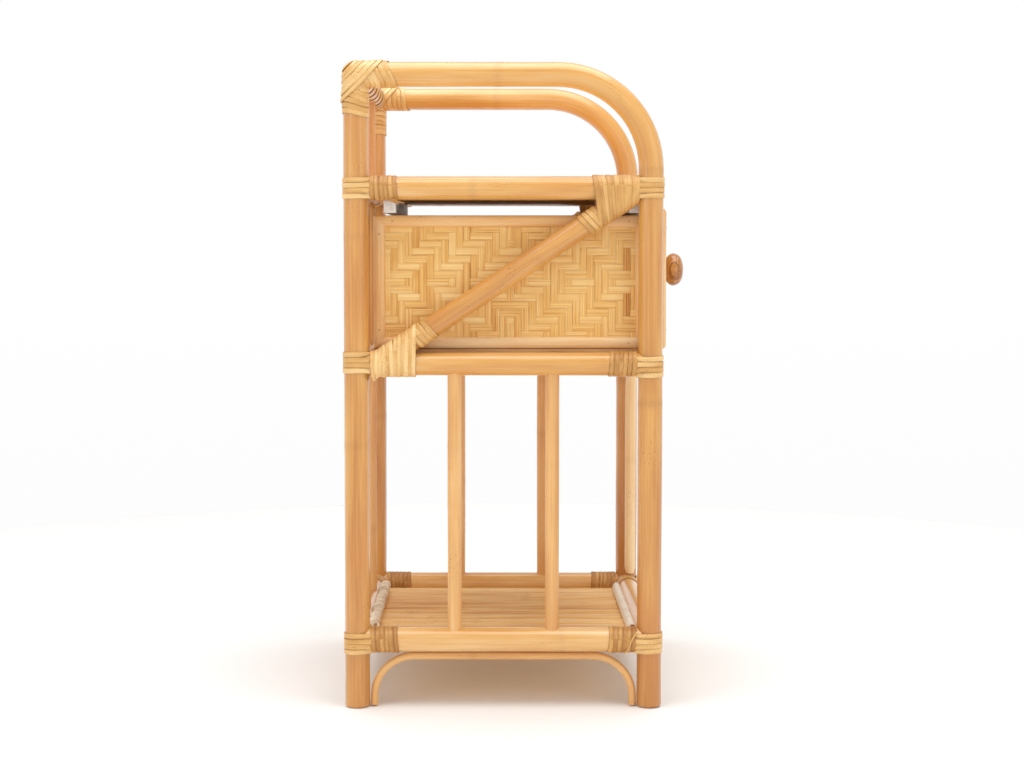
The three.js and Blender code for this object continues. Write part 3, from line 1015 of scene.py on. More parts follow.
@dataclass(frozen=True)
class TurnedWood:
    """A turned and varnished knob of browner wood."""

    name: str = "turned_brown_wood"
    slot: str = "turned_wood"

    def make(self) -> bpy.types.Material:
        """Writes the finish.

        Returns:
            The finished material.
        """
        g = Graph.finish_named(self.name)
        place = g.place()
        bands = g.noise(place, (420, 60, 34), 3, 1.2)
        pores = g.noise(place, (2600, 300, 240), 1)
        depth = g.total((bands, 1.0), (pores, 0.5))
        colour = g.ramp(depth, (208, 150, 84), (176, 114, 54), (124, 70, 30), places=(0.0, 0.55, 1.0))
        rough = g.remap(bands, 0, 1, 0.3, 0.46)
        return g.finish(colour, rough, g.bump(depth, 0.00008, 0.6), 0.5, 0.2)


@dataclass(frozen=True)
class NailSteel:
    """Small pin heads, browned with varnish."""

    name: str = "dull_steel"
    slot: str = "raw_wood"

    def make(self) -> bpy.types.Material:
        """Writes the finish.

        Returns:
            The finished material.
        """
        g = Graph.finish_named(self.name)
        wear = g.noise(g.place(), (900, 900, 900), 2)
        colour = g.ramp(wear, (168, 134, 94), (112, 84, 56))
        g.shader.inputs["Metallic"].default_value = 0.35
        return g.finish(colour, g.remap(wear, 0, 1, 0.35, 0.6), g.bump(wear, 0.00005, 0.5))


@dataclass(frozen=True)
class PaleFloor:
    """Matt pale floor."""

    name: str = "pale_floor"
    slot: str = ""

    def make(self) -> bpy.types.Material:
        """Writes the finish.

        Returns:
            The finished material.
        """
        g = Graph.finish_named(self.name)
        cloud = g.noise(g.place(), (1.3, 1.3, 1.3), 2)
        colour = g.ramp(cloud, (250, 249, 248), (252, 252, 251))
        g.shader.inputs["Specular IOR Level"].default_value = 0.1
        g.feed(g.shader.inputs["Base Color"], colour)
        g.feed(g.shader.inputs["Roughness"], g.remap(cloud, 0, 1, 0.85, 0.95))
        return g.owner


class FinishRack:
    """Makes each finish once."""

    def __init__(self) -> None:
        """Starts an empty rack."""
        self.made: dict[str, bpy.types.Material] = {}

    def take(self, finish: object) -> bpy.types.Material:
        """Hands over a finish's material, making it the first time.

        Args:
            finish: The finish.

        Returns:
            The material.
        """
        if finish.name not in self.made:
            self.made[finish.name] = finish.make()
        return self.made[finish.name]


@dataclass
class Bench:
    """Where pieces are put together: each gets its finish, its body and the part it stands for."""

    rack: FinishRack = field(default_factory=FinishRack)

    def place(
        self,
        mesh: PieceMesh,
        name: str,
        finishes: Sequence[object],
        body: Body = Body.FRAME,
        stands_for: Sequence[str] = (),
    ) -> bpy.types.Object:
        """Makes a piece and fits it to the table.

        Args:
            mesh: The piece's surfaces.
            name: Its name.
            finishes: Its finishes, by slot number.
            body: The body it moves with.
            stands_for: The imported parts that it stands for.

        Returns:
            The fitted object.
        """
        piece = mesh.to_object(name)
        for finish in finishes:
            piece.data.materials.append(self.rack.take(finish))
        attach(piece, body.value)
        if stands_for:
            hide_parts(*stands_for)
        log.info("%s: %d faces", name, len(piece.data.polygons))
        return piece

    def pole(self, name: str, pole: Pole, finishes: Sequence[object], node: str) -> None:
        """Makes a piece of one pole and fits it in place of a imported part.

        Args:
            name: The piece's name.
            pole: The pole.
            finishes: Its finishes, by slot number.
            node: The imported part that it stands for.
        """
        mesh = PieceMesh()
        pole.add_to(mesh)
        self.place(mesh, name, finishes, stands_for=(node,))

    def dress(self, node: str, finish: object) -> None:
        """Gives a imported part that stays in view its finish.

        Args:
            node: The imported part.
            finish: The finish.
        """
        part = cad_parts[node]
        part.data.materials.clear()
        part.data.materials.append(self.rack.take(finish))
        log.info("%s: packed part, dressed with %s", node, finish.name)


# ---- The table's layout -------------------------------------------------------------------


@dataclass(frozen=True)
class Layout:
    """Centre lines and radii of the frame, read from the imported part."""

    side_x: float
    back_y: float
    front_y: float
    top_z: float
    table_z: float
    drawer_z: float
    shelf_z: float
    post_r: float
    bent_r: float
    rail_r: float
    shelf_r: float
    brace_r: float = 0.0105
    bend: float = 0.093
    brace_low: float = 0.020
    brace_high: float = 0.283
    spindle_r: float = 0.007
    sink: float = 0.004

    @classmethod
    def read(cls) -> "Layout":
        """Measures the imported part.

        Returns:
            The layout.
        """
        names = ("back_post", "bent_front_post", "table_rail", "drawer_rail", "shelf_rail")
        post, bent, table, drawer, shelf = (np.array(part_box(f"{name}_right")) for name in names)
        bent_r = (bent[1][0] - bent[0][0]) / 2
        side_x, back_y, _ = post.mean(axis=0)
        return cls(
            side_x=side_x,
            back_y=back_y,
            front_y=bent[0][1] + bent_r,
            top_z=bent[1][2] - bent_r,
            table_z=table.mean(axis=0)[2],
            drawer_z=drawer.mean(axis=0)[2],
            shelf_z=shelf.mean(axis=0)[2],
            post_r=(post[1][0] - post[0][0]) / 2,
            bent_r=bent_r,
            rail_r=(table[1][2] - table[0][2]) / 2,
            shelf_r=(shelf[1][2] - shelf[0][2]) / 2,
        )

    @property
    def depth(self) -> float:
        """Back post to front post, centre to centre."""
        return self.back_y - self.front_y

    def spot(self, x: float, depth: float, z: float) -> np.ndarray:
        """A point, by its depth in front of the back posts' centre lines."""
        return np.array([x, self.back_y - depth, z])

    def line(self, x: float, *places: tuple[float, float]) -> list[np.ndarray]:
        """Points at one x, each by its depth and height."""
        return [self.spot(x, depth, z) for depth, z in places]


# ---- Sub-assemblies -----------------------------------------------------------------------


@dataclass(frozen=True)
class SideFrame:
    """One side: straight back post, bent front post, three rails, brace, spindles and foot hoop."""

    side: Side
    layout: Layout
    skin: RattanSkin
    end: PoleEnd
    cane: RattanSkin
    hoop_r: float = 0.00375
    hoop_bend: float = 0.040
    foot_ease: float = 0.0028
    top_ease: float = 0.0122
    first_seed: ClassVar[dict[str, int]] = {"left": 100, "right": 300}

    def pole(
        self,
        bench: Bench,
        node: str,
        places: Sequence[tuple[float, float]],
        radius: float,
        tone: float,
        seed: int,
        bend: float = 0.0,
        finish: RattanSkin | None = None,
        **more: object,
    ) -> None:
        """Builds one pole and fits it.

        Args:
            bench: Where it is put together.
            node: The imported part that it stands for, without its side.
            places: Depth and height of its centre line's corners.
            radius: Its radius.
            tone: Its colour depth.
            seed: Picks its own grain.
            bend: Centre-line radius at its corners.
            finish: Its skin, or None for the usual one.
            more: Other values of Pole.
        """
        eases = [more.get("ease_start", Pole.ease_start), more.get("ease_end", Pole.ease_end)]
        extra = sorted({p for ease in eases for p in eased_places(ease)})
        corners = self.layout.line(self.side.value * self.layout.side_x, *places)
        seed += self.first_seed[self.side.word]
        pole = Pole(Route.through(corners, bend, extra), radius, tone, seed, **more)
        node = f"{node}_{self.side.word}"
        bench.pole(f"pole_{node}", pole, (finish or self.skin, self.end), node)

    def build(self, bench: Bench) -> None:
        """Builds and dresses the whole side.

        Args:
            bench: Where pieces are put together.
        """
        at, foot, cane = self.layout, self.foot_ease, self.cane
        self.pole(
            bench, "back_post", ((0, 0), (0, at.top_z)), at.post_r, 0.7, 1, ease_start=foot, knots=(0.052, 0.262, 0.47)
        )
        bent = ((-at.post_r, at.top_z), (at.depth, at.top_z), (at.depth, 0))
        self.pole(
            bench, "bent_front_post", bent, at.bent_r, 0.44, 2, at.bend,
            deepen=0.48, ease_start=self.top_ease, ease_end=foot, knots=(0.155, 0.36, 0.592, 0.838),
        )
        inner = at.post_r * 0.5
        for name, z, radius, tone, knots in (
            ("table_rail", at.table_z, at.rail_r, 0.48, (0.108,)),
            ("drawer_rail", at.drawer_z, at.rail_r, 0.56, (0.05, 0.242)),
            ("shelf_rail", at.shelf_z, at.shelf_r, 0.3, (0.196,)),
        ):
            seed = len(name) + int(z * 100)
            self.pole(bench, name, ((inner, z), (at.depth - inner, z)), radius, tone, seed, knots=knots)
        brace = ((at.brace_low, at.drawer_z), (at.brace_high, at.table_z))
        self.pole(bench, "brace", brace, at.brace_r, 0.72, 9, knots=(0.19,))
        for index, (name, tone) in enumerate((("back", 0.56), ("front", 0.7))):
            depth = at.depth * (index + 1) / 3
            ends = ((depth, at.shelf_z + at.sink), (depth, at.drawer_z - at.sink))
            self.pole(bench, f"side_spindle_{name}", ends, at.spindle_r, tone, 20 + index, finish=cane, sides=20)
        low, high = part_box(f"foot_hoop_{self.side.word}")
        near, far = at.back_y - high.y + self.hoop_r, at.back_y - low.y - self.hoop_r
        top = high.z - self.hoop_r
        hoop = ((near, low.z), (near, top), (far, top), (far, low.z))
        self.pole(bench, "foot_hoop", hoop, self.hoop_r, 0.66, 30, self.hoop_bend, cane, sides=14, knots=(0.13,))


@dataclass(frozen=True)
class CrossFrame:
    """Everything that joins the two sides: cross rails, back spindles and the front arch."""

    layout: Layout
    skin: RattanSkin
    end: PoleEnd
    cane: RattanSkin
    strand: CaneStrand
    arch_r: float = 0.0062
    arch_bend: float = 0.045
    wrap_pitch: float = 0.038
    wrap_width: float = 0.0062
    wrap_thick: float = 0.0012
    wrap_margin: float = 0.036

    def wrap(self, bench: Bench) -> None:
        """Winds one pale strand in a long spiral round the top back rail.

        Args:
            bench: Where pieces are put together.
        """
        at = self.layout
        reach = at.side_x - self.wrap_margin
        x = np.linspace(-reach, reach, 220)
        turn = FULL_TURN * x / self.wrap_pitch + 0.6
        outward = np.cos(turn)[:, None] * FORWARD + np.sin(turn)[:, None] * UP
        radius = at.bent_r * 1.012 + self.wrap_thick * 0.45
        points = at.spot(0, 0, at.top_z) + x[:, None] * ACROSS + radius * outward
        across = np.cross(outward, unit_rows(np.gradient(points, axis=0)))
        profile = strand_profile(self.wrap_width, self.wrap_thick)
        mesh = PieceMesh()
        lay_strand(mesh, points, across, outward, path_lengths(points), profile, 0.1)
        bench.place(mesh, "wrap_top_rail_back", (self.strand,))

    def build(self, bench: Bench) -> None:
        """Builds and dresses the cross frame.

        Args:
            bench: Where pieces are put together.
        """
        self.wrap(bench)
        at = self.layout
        reach = at.side_x - at.post_r * 0.5
        rails = (
            ("top_rail_back", 0.0, at.top_z, at.bent_r, 0.62),
            ("table_rail_back", 0.0, at.table_z, at.rail_r, 0.66),
            ("drawer_rail_back", 0.0, at.drawer_z, at.rail_r, 0.6),
            ("shelf_rail_back", 0.0, at.shelf_z, at.shelf_r, 0.6),
            ("table_rail_front", at.depth, at.table_z, at.rail_r, 0.55),
            ("drawer_rail_front", at.depth, at.drawer_z, at.rail_r, 0.5),
            ("shelf_rail_front", at.depth, at.shelf_z, at.shelf_r, 0.45),
        )
        for index, (node, depth, z, radius, tone) in enumerate(rails):
            route = Route.through([at.spot(-reach, depth, z), at.spot(reach, depth, z)])
            bench.pole(f"pole_{node}", Pole(route, radius, tone, 500 + index), (self.skin, self.end), node)
        bays = (
            ("gallery", at.table_z, at.top_z, 0.8),
            ("bay", at.drawer_z, at.table_z, 0.72),
            ("low", at.shelf_z, at.drawer_z, 0.6),
        )
        for index, (bay, low, high, tone) in enumerate(bays):
            for side in Side:
                route = Route.through(at.line(side.value * at.side_x / 3, (0, low + at.sink), (0, high - at.sink)))
                node = f"back_spindle_{bay}_{side.word}"
                pole = Pole(route, at.spindle_r, tone, 540 + index * 2 + side.value, sides=20)
                bench.pole(f"pole_{node}", pole, (self.cane, self.end), node)
        low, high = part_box("front_arch")
        depth, top = at.back_y - (low.y + high.y) / 2, high.z - self.arch_r
        x = high.x - self.arch_r
        foot = at.shelf_z + at.shelf_r * 0.7
        corners = at.line(-x, (depth, foot), (depth, top)) + at.line(x, (depth, top), (depth, foot))
        arch = Pole(Route.through(corners, self.arch_bend), self.arch_r, 0.12, 560, sides=18)
        bench.pole("cane_front_arch", arch, (self.cane, self.end), "front_arch")


Tail = tuple[float, tuple[tuple[float, float, float], ...]]
DIAGONALS = (
    (-0.0112, 0.0002, 0.4),
    (-0.0078, 0.0003, 0.4),
    (-0.0037, 0.0004, 0.4),
    (0.0006, 0.0006, 0.4),
    (0.0050, 0.0010, 0.2),
    (0.0093, 0.0013, 0.2),
)
TABLE_TAILS: tuple[Tail, ...] = (
    (1.3, ((0.035, 0.5085, 0.0100), (0.040, 0.5072, 0.0108), (0.0440, 0.5058, 0.0104), (0.0485, 0.5052, 0.0092))),
    (1.2, ((0.034, 0.5080, 0.0104), (0.038, 0.5062, 0.0112), (0.0405, 0.5050, 0.0110), (0.0430, 0.5036, 0.0102))),
)
SHELF_TAILS: tuple[Tail, ...] = (
    (0.6, ((0.2800, 0.0770, 0.0120), (0.2745, 0.0690, 0.0140), (0.2715, 0.0610, 0.0128), (0.2672, 0.0552, 0.0100))),
)


@dataclass(frozen=True)
class Fan:
    """A fan of strands: depths of its first and last loop at two heights, then a ring round the brace."""

    tops: tuple[float, float]
    feet: tuple[float, float]
    heights: tuple[float, float]
    count: int
    tone: float
    ring_start: float
    ring_tone: float
    width: float


@dataclass(frozen=True)
class Bindings:
    """The cane bindings at every joint of one side."""

    side: Side
    layout: Layout
    strand: CaneStrand
    pitch: float = 0.0053
    coil_pitch: float = 0.0046
    root: float = 0.0138
    coil_count: int = 6
    coil_tone: float = 0.84
    coil_lean: float = 0.07
    ring_count: int = 4
    ring_tone: float = 0.36
    rail_strands: int = 6
    rail_start: float = 0.0066
    post_strands: int = 7
    post_start: float = 0.5942
    diagonal_width: float = 0.0046
    tail_width: float = 0.0024
    tail_thick: float = 0.0008
    front_fan: ClassVar[Fan] = Fan(
        (0.2367, 0.2795), (0.2429, 0.2785), (0.5320, 0.4900), 11, 0.62, ring_start=0.2285, ring_tone=0.5, width=0.0052
    )
    back_fan: ClassVar[Fan] = Fan(
        (0.0155, 0.0582), (0.0168, 0.0568), (0.3740, 0.3332), 12, 0.24, ring_start=0.0590, ring_tone=0.42, width=0.0045
    )

    @property
    def x(self) -> float:
        """The side frame's place."""
        return self.side.value * self.layout.side_x

    @property
    def inward(self) -> np.ndarray:
        """The way to the other side frame."""
        return ACROSS * -self.side.value

    def post(self, depth: float) -> Core:
        """The post at a depth, as a core."""
        radius = self.layout.post_r if depth == 0 else self.layout.bent_r
        return Core(self.layout.spot(self.x, depth, 0), UP, radius)

    def rail(self, z: float) -> Core:
        """The side rail at a height, as a core.

        Args:
            z: The rail's height.

        Returns:
            The core.
        """
        at = self.layout
        radius = {at.shelf_z: at.shelf_r, at.top_z: at.bent_r}.get(z, at.rail_r)
        return Core(at.spot(self.x, 0, z), FORWARD, radius)

    def cross(self, depth: float, z: float) -> Core:
        """The cross rail at a joint, as a core."""
        return Core(self.layout.spot(0, depth, z), self.inward, self.rail(z).radius)

    def brace(self) -> Core:
        """The diagonal brace, as a core.

        Returns:
            The core.
        """
        at = self.layout
        low, high = at.spot(self.x, at.brace_low, at.drawer_z), at.spot(self.x, at.brace_high, at.table_z)
        return Core(low, unit(high - low), at.brace_r)

    def post_ring(self, winder: Winder, depth: float, z: float) -> None:
        """Winds level loops round a post and over the roots of its two rails.

        Args:
            winder: Does the winding.
            depth: How far in front of the back posts it is.
            z: The rail's height.
        """
        at, ahead, count = self.layout, 1 if depth == 0 else -1, self.ring_count
        middle = z + {at.drawer_z: 0.002 if depth == 0 else -0.0025, at.shelf_z: -0.0025}.get(z, 0.0)
        for index in range(count):
            height = middle + self.pitch * (index - (count - 1) / 2)
            half = math.sqrt(max(self.rail(z).radius ** 2 - (height - z) ** 2, 0.0))
            corners = []
            if half > 0:
                for edge in (-half, half):
                    corners.append(at.spot(self.x + edge, depth + ahead * self.root, height))
                    corners.append(at.spot(self.x, depth + edge, height) + self.inward * self.root)
            cores = [self.post(depth), Shoulders(np.array(corners).reshape(-1, 3))]
            # Painted highlight: the top and bottom loops are made paler to stand in for the light that catches them.
            shade = self.ring_tone + 0.1 * (depth > 0) - 0.14 * (index in (0, count - 1))
            winder.loop(cores, at.spot(self.x, depth, height), (0, 0.03, 1), shade, width=self.pitch * 0.99)

    def side_coil(self, winder: Winder, depth: float, z: float) -> None:
        """Winds loops round a side rail, next to a post.

        Args:
            winder: Does the winding.
            depth: How far in front of the back posts it is.
            z: The rail's height.
        """
        ahead = 1 if depth == 0 else -1
        first = depth + ahead * (self.root + self.coil_pitch / 2)
        last = first + ahead * self.coil_pitch * (self.coil_count - 1)
        start, end = self.layout.line(self.x, (first, z), (last, z))
        winder.coil(self.rail(z), start, end, self.coil_count, (0, 0, self.coil_lean * ahead), self.coil_tone)

    def cross_coil(self, winder: Winder, depth: float, z: float, count: int = 6) -> None:
        """Winds loops round a cross rail, next to a post.

        Args:
            winder: Does the winding.
            depth: How far in front of the back posts it is.
            z: The rail's height.
            count: How many loops there are.
        """
        start = self.layout.spot(self.x, depth, z) + self.inward * (self.root + self.coil_pitch / 2)
        end = start + self.inward * self.coil_pitch * (count - 1)
        winder.coil(self.cross(depth, z), start, end, count, (0, 0, 0.06), 0.62)

    def fan(self, winder: Winder, z: float, fan: Fan) -> None:
        """Winds loops round rail and brace together, then some round the brace alone.

        Args:
            winder: Does the winding.
            z: The rail's height.
            fan: Where the loops lie.
        """
        at, brace = self.layout, self.brace()
        usual, winder.width = winder.width, fan.width
        for index, share in enumerate(np.linspace(0, 1, fan.count)):
            top = at.spot(self.x, fan.tops[0] + (fan.tops[1] - fan.tops[0]) * share, fan.heights[0])
            foot = at.spot(self.x, fan.feet[0] + (fan.feet[1] - fan.feet[0]) * share, fan.heights[1])
            normal = np.cross(ACROSS, unit(top - foot))
            lift = 0.0002 + 0.00035 * (index % 2) + 0.0006 * (index == 0)
            winder.loop([self.rail(z), brace], (top + foot) / 2, normal, fan.tone, lift)
        winder.width = usual
        reach = (fan.ring_start - at.brace_low) / abs(float(brace.direction[1]))
        first = brace.point + brace.direction * reach
        last = first + brace.direction * self.pitch * (self.ring_count - 1)
        winder.coil(brace, first, last, self.ring_count, (0, 0.1, 0.16), fan.ring_tone, 0.0003)

    def leaning(
        self, amount: float, way: np.ndarray, along: np.ndarray, middle: float
    ) -> Callable[[np.ndarray], np.ndarray]:
        """Makes the outer side of a loop lean while its inner side stays square.

        Args:
            amount: How far it leans for each unit along the second direction.
            way: The direction that points move in.
            along: The direction that decides how far.
            middle: Where along it nothing moves.

        Returns:
            The mover for the loop's points.
        """

        def slide(points: np.ndarray) -> np.ndarray:
            """Moves the loop's points along the pole."""
            outer = np.clip(0.5 + 0.5 * (points[:, 0] - self.x) / (self.layout.post_r * self.side.value), 0, 1)
            return points + (amount * outer * (points @ along - middle))[:, None] * way

        return slide

    def tail(self, winder: Winder, route: Sequence[tuple[float, float, float]], tone: float) -> None:
        """Leaves a strand's cut end curling out of a binding.

        Args:
            winder: Does the winding.
            route: Depth, height and stand-out of four points along the end.
            tone: Its colour depth.
        """
        spots = np.array([self.layout.spot(self.x + self.side.value * proud, depth, z) for depth, z, proud in route])
        places = np.linspace(0, 1, len(spots))
        share = np.linspace(0, 1, 12)
        points = np.stack([np.polyval(np.polyfit(places, spots[:, k], 3), share) for k in range(3)], axis=1)
        outward = np.tile(ACROSS * self.side.value, (len(share), 1))
        across = unit_rows(np.cross(outward, unit_rows(np.gradient(points, axis=0))))
        taper = np.linspace(1, 0.45, len(share))[:, None, None]
        profile = strand_profile(self.tail_width, self.tail_thick)[None] * taper
        lay_strand(winder.mesh, points, across, outward, share * 0.02, profile, tone)

    def corner(self, winder: Winder) -> None:
        """Binds the top back corner: leaning strands on both poles, diagonal strands over them.

        Args:
            winder: Does the winding.
        """
        at = self.layout
        top = at.spot(self.x, 0, at.top_z)
        rail, post = Core(top, FORWARD, at.bent_r, (0.0, 9.0)), Core(top, -UP, at.post_r, (0.0, 9.0))
        for index in range(self.rail_strands):
            slide = self.leaning(-math.tan(math.radians(35 - 1.2 * index)), FORWARD, UP, at.top_z)
            centre = at.spot(self.x, self.rail_start + 0.0054 * index, at.top_z)
            winder.loop([rail], centre, FORWARD, 0.42, width=0.0055, slide=slide)
        for index in range(self.post_strands):
            slide = self.leaning(-0.26 - 0.055 * index, UP, FORWARD, -at.back_y)
            centre = at.spot(self.x, 0, self.post_start + 0.00525 * index)
            winder.loop([post], centre, UP, 0.36, width=0.0054, slide=slide)
        down = unit(FORWARD - UP)
        for offset, lift, tone in DIAGONALS:
            winder.loop([rail, post, Ball(top, at.post_r)], top + down * offset, down, tone, lift, self.diagonal_width)
        self.cross_coil(winder, 0, at.top_z, 5)

    def joint(
        self, winder: Winder, depth: float, z: float, fan: Fan | None = None, tails: Sequence[Tail] = ()
    ) -> None:
        """Binds one post to its two rails, and to the brace where there is one.

        Args:
            winder: Does the winding.
            depth: How far in front of the back posts the joint is.
            z: Its height.
            fan: The loops round the brace, or None where there is no brace.
            tails: Tone and route of each strand end that stays loose.
        """
        self.post_ring(winder, depth, z)
        if fan is None:
            self.side_coil(winder, depth, z)
        else:
            self.fan(winder, z, fan)
        self.cross_coil(winder, depth, z)
        for tone, route in tails:
            self.tail(winder, route, tone)

    def build(self, bench: Bench) -> None:
        """Builds and dresses every binding of the side.

        Args:
            bench: Where pieces are put together.
        """
        at, word, left = self.layout, self.side.word, self.side is Side.LEFT
        joints = (
            ("table_back", 0, at.table_z, None, TABLE_TAILS if left else ()),
            ("table_front", at.depth, at.table_z, self.front_fan, ()),
            ("drawer_back", 0, at.drawer_z, self.back_fan, ()),
            ("drawer_front", at.depth, at.drawer_z, None, ()),
            ("shelf_back", 0, at.shelf_z, None, ()),
            ("shelf_front", at.depth, at.shelf_z, None, SHELF_TAILS),
            ("corner", 0, at.top_z, None, ()),
        )
        for number, (name, *place) in enumerate(joints, start=901 if left else 1901):
            winder = Winder(PieceMesh(), number)
            if name == "corner":
                self.corner(winder)
            else:
                self.joint(winder, *place)
            node = f"{name}_{word}"
            bench.place(winder.mesh, f"binding_{node}", (self.strand,), stands_for=(f"lashing_{node}",))


@dataclass(frozen=True)
class Deck:
    """A floor of split poles laid front to back, flat side down."""

    node: str
    label: str
    split: RattanSkin
    end: PoleEnd
    rods: int = 11
    gap: float = 0.0004
    seed: int = 700

    def build(self, bench: Bench) -> None:
        """Builds the rods one by one.

        Args:
            bench: Where pieces are put together.
        """
        low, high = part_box(self.node)
        rng = np.random.default_rng(self.seed)
        pitch = (high.x - low.x) / self.rods
        height = high.z - low.z
        for index in range(self.rods):
            mesh = PieceMesh()
            half = pitch / 2 - self.gap
            middle = low.x + pitch * (index + 0.5)
            start, end = low.y + rng.uniform(0, 0.003), high.y - rng.uniform(0, 0.003)
            y = np.linspace(start, end, 34)
            turn = np.linspace(0, math.pi, 13)
            dome = np.stack([half * np.cos(turn), height * np.sin(turn) ** 0.85], axis=1)
            profile = np.concatenate([dome, [[-half * 0.5, 0.0006], [half * 0.5, 0.0006]]])
            swell = 1 + 0.012 * ripple(y, self.seed + index, 0.23)
            wander = 0.0005 * ripple(y, self.seed + 40 + index, 0.3)
            place = rng.uniform(start + 0.04, end - 0.04)
            near = np.exp(-(((y - place) / 0.0035) ** 2))
            across = profile[None, :, 0] * swell[:, None]
            rise = profile[None, :, 1] * (swell * (1 + 0.03 * near))[:, None] * 0.985
            rings = np.stack(
                [middle + across + wander[:, None], np.broadcast_to(y[:, None], across.shape), low.z + rise], axis=-1
            )
            grain = np.stack([across, rise, np.broadcast_to(y[:, None], across.shape)], axis=-1) + rng.uniform(0, 3, 3)
            mark = np.broadcast_to(near[:, None] * 0.5, across.shape)
            mesh.add_rings(rings, grain, float(rng.uniform(0.18, 0.66)), mark, end_slot=1)
            names = (self.node,) if index == 0 else ()
            bench.place(mesh, f"{self.label}_rod_{index + 1:02d}", (self.split, self.end), stands_for=names)


@dataclass(frozen=True)
class ShelfTrim:
    """What covers the ends of the split poles: a twisted cord behind, a smooth strip in front."""

    cord: CaneStrand
    end: PoleEnd
    bearer: SawnWood
    runner: SawnWood
    ply_r: float = 0.0031
    lay: float = 0.0256

    def cord_at_back(self, bench: Bench) -> None:
        """Twists two plies of cane along the back ends of the shelf's rods.

        Args:
            bench: Where pieces are put together.
        """
        low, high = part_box("shelf_edge_back")
        mesh = PieceMesh()
        x = np.linspace(low.x, high.x, 190)
        y = (low.y + high.y) / 2 + 0.0002
        z = (low.z + high.z) / 2 + 0.0026
        for ply in range(2):
            turn = FULL_TURN * x / self.lay + math.pi * ply
            swing = self.ply_r * (0.9 + 0.24 * ripple(x, 40 + ply, 0.05))
            points = np.stack([x, y + swing * np.cos(turn), z + swing * np.sin(turn)], axis=1)
            route = Route.along_points(points)
            Pole(route, self.ply_r, 0.25 + 0.2 * ply, 44 + ply, sides=12, knots=(), uneven=0.2).add_to(mesh)
        bench.place(mesh, "cord_shelf_back", (self.cord, self.end), stands_for=("shelf_edge_back",))

    def strip_at_front(self, bench: Bench) -> None:
        """Lays a smooth pale half-round strip along the front ends of the shelf's rods.

        Args:
            bench: Where pieces are put together.
        """
        low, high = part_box("shelf_edge_front")
        mesh = PieceMesh()
        middle, half = (low.y + high.y) / 2 + 0.0004, (high.y - low.y) / 2 + 0.0022
        height = high.z - low.z + 0.0012
        x = np.linspace(low.x, high.x, 50)
        turn = np.linspace(0, math.pi, 11)
        profile = np.stack([half * np.cos(turn), height * np.sin(turn) ** 0.9], axis=1)
        swell = 1 + 0.03 * ripple(x, 48, 0.12)
        across, rise = profile[None, :, 0] * swell[:, None], profile[None, :, 1] * swell[:, None]
        rings = np.stack([np.broadcast_to(x[:, None], across.shape), middle + across, low.z + rise], axis=-1)
        grain = np.stack([across, rise, np.broadcast_to(x[:, None], across.shape)], axis=-1)
        mesh.add_rings(rings, grain, 0.0, end_slot=1)
        bench.place(mesh, "strip_shelf_front", (self.cord, self.end), stands_for=("shelf_edge_front",))

    def build(self, bench: Bench) -> None:
        """Builds the trim and dresses the bearers and runners.

        Args:
            bench: Where pieces are put together.
        """
        self.cord_at_back(bench)
        self.strip_at_front(bench)
        for node in ("top_bearer_back", "top_bearer_front"):
            bench.dress(node, self.bearer)
        for side in Side:
            bench.dress(f"drawer_runner_{side.word}", self.runner)


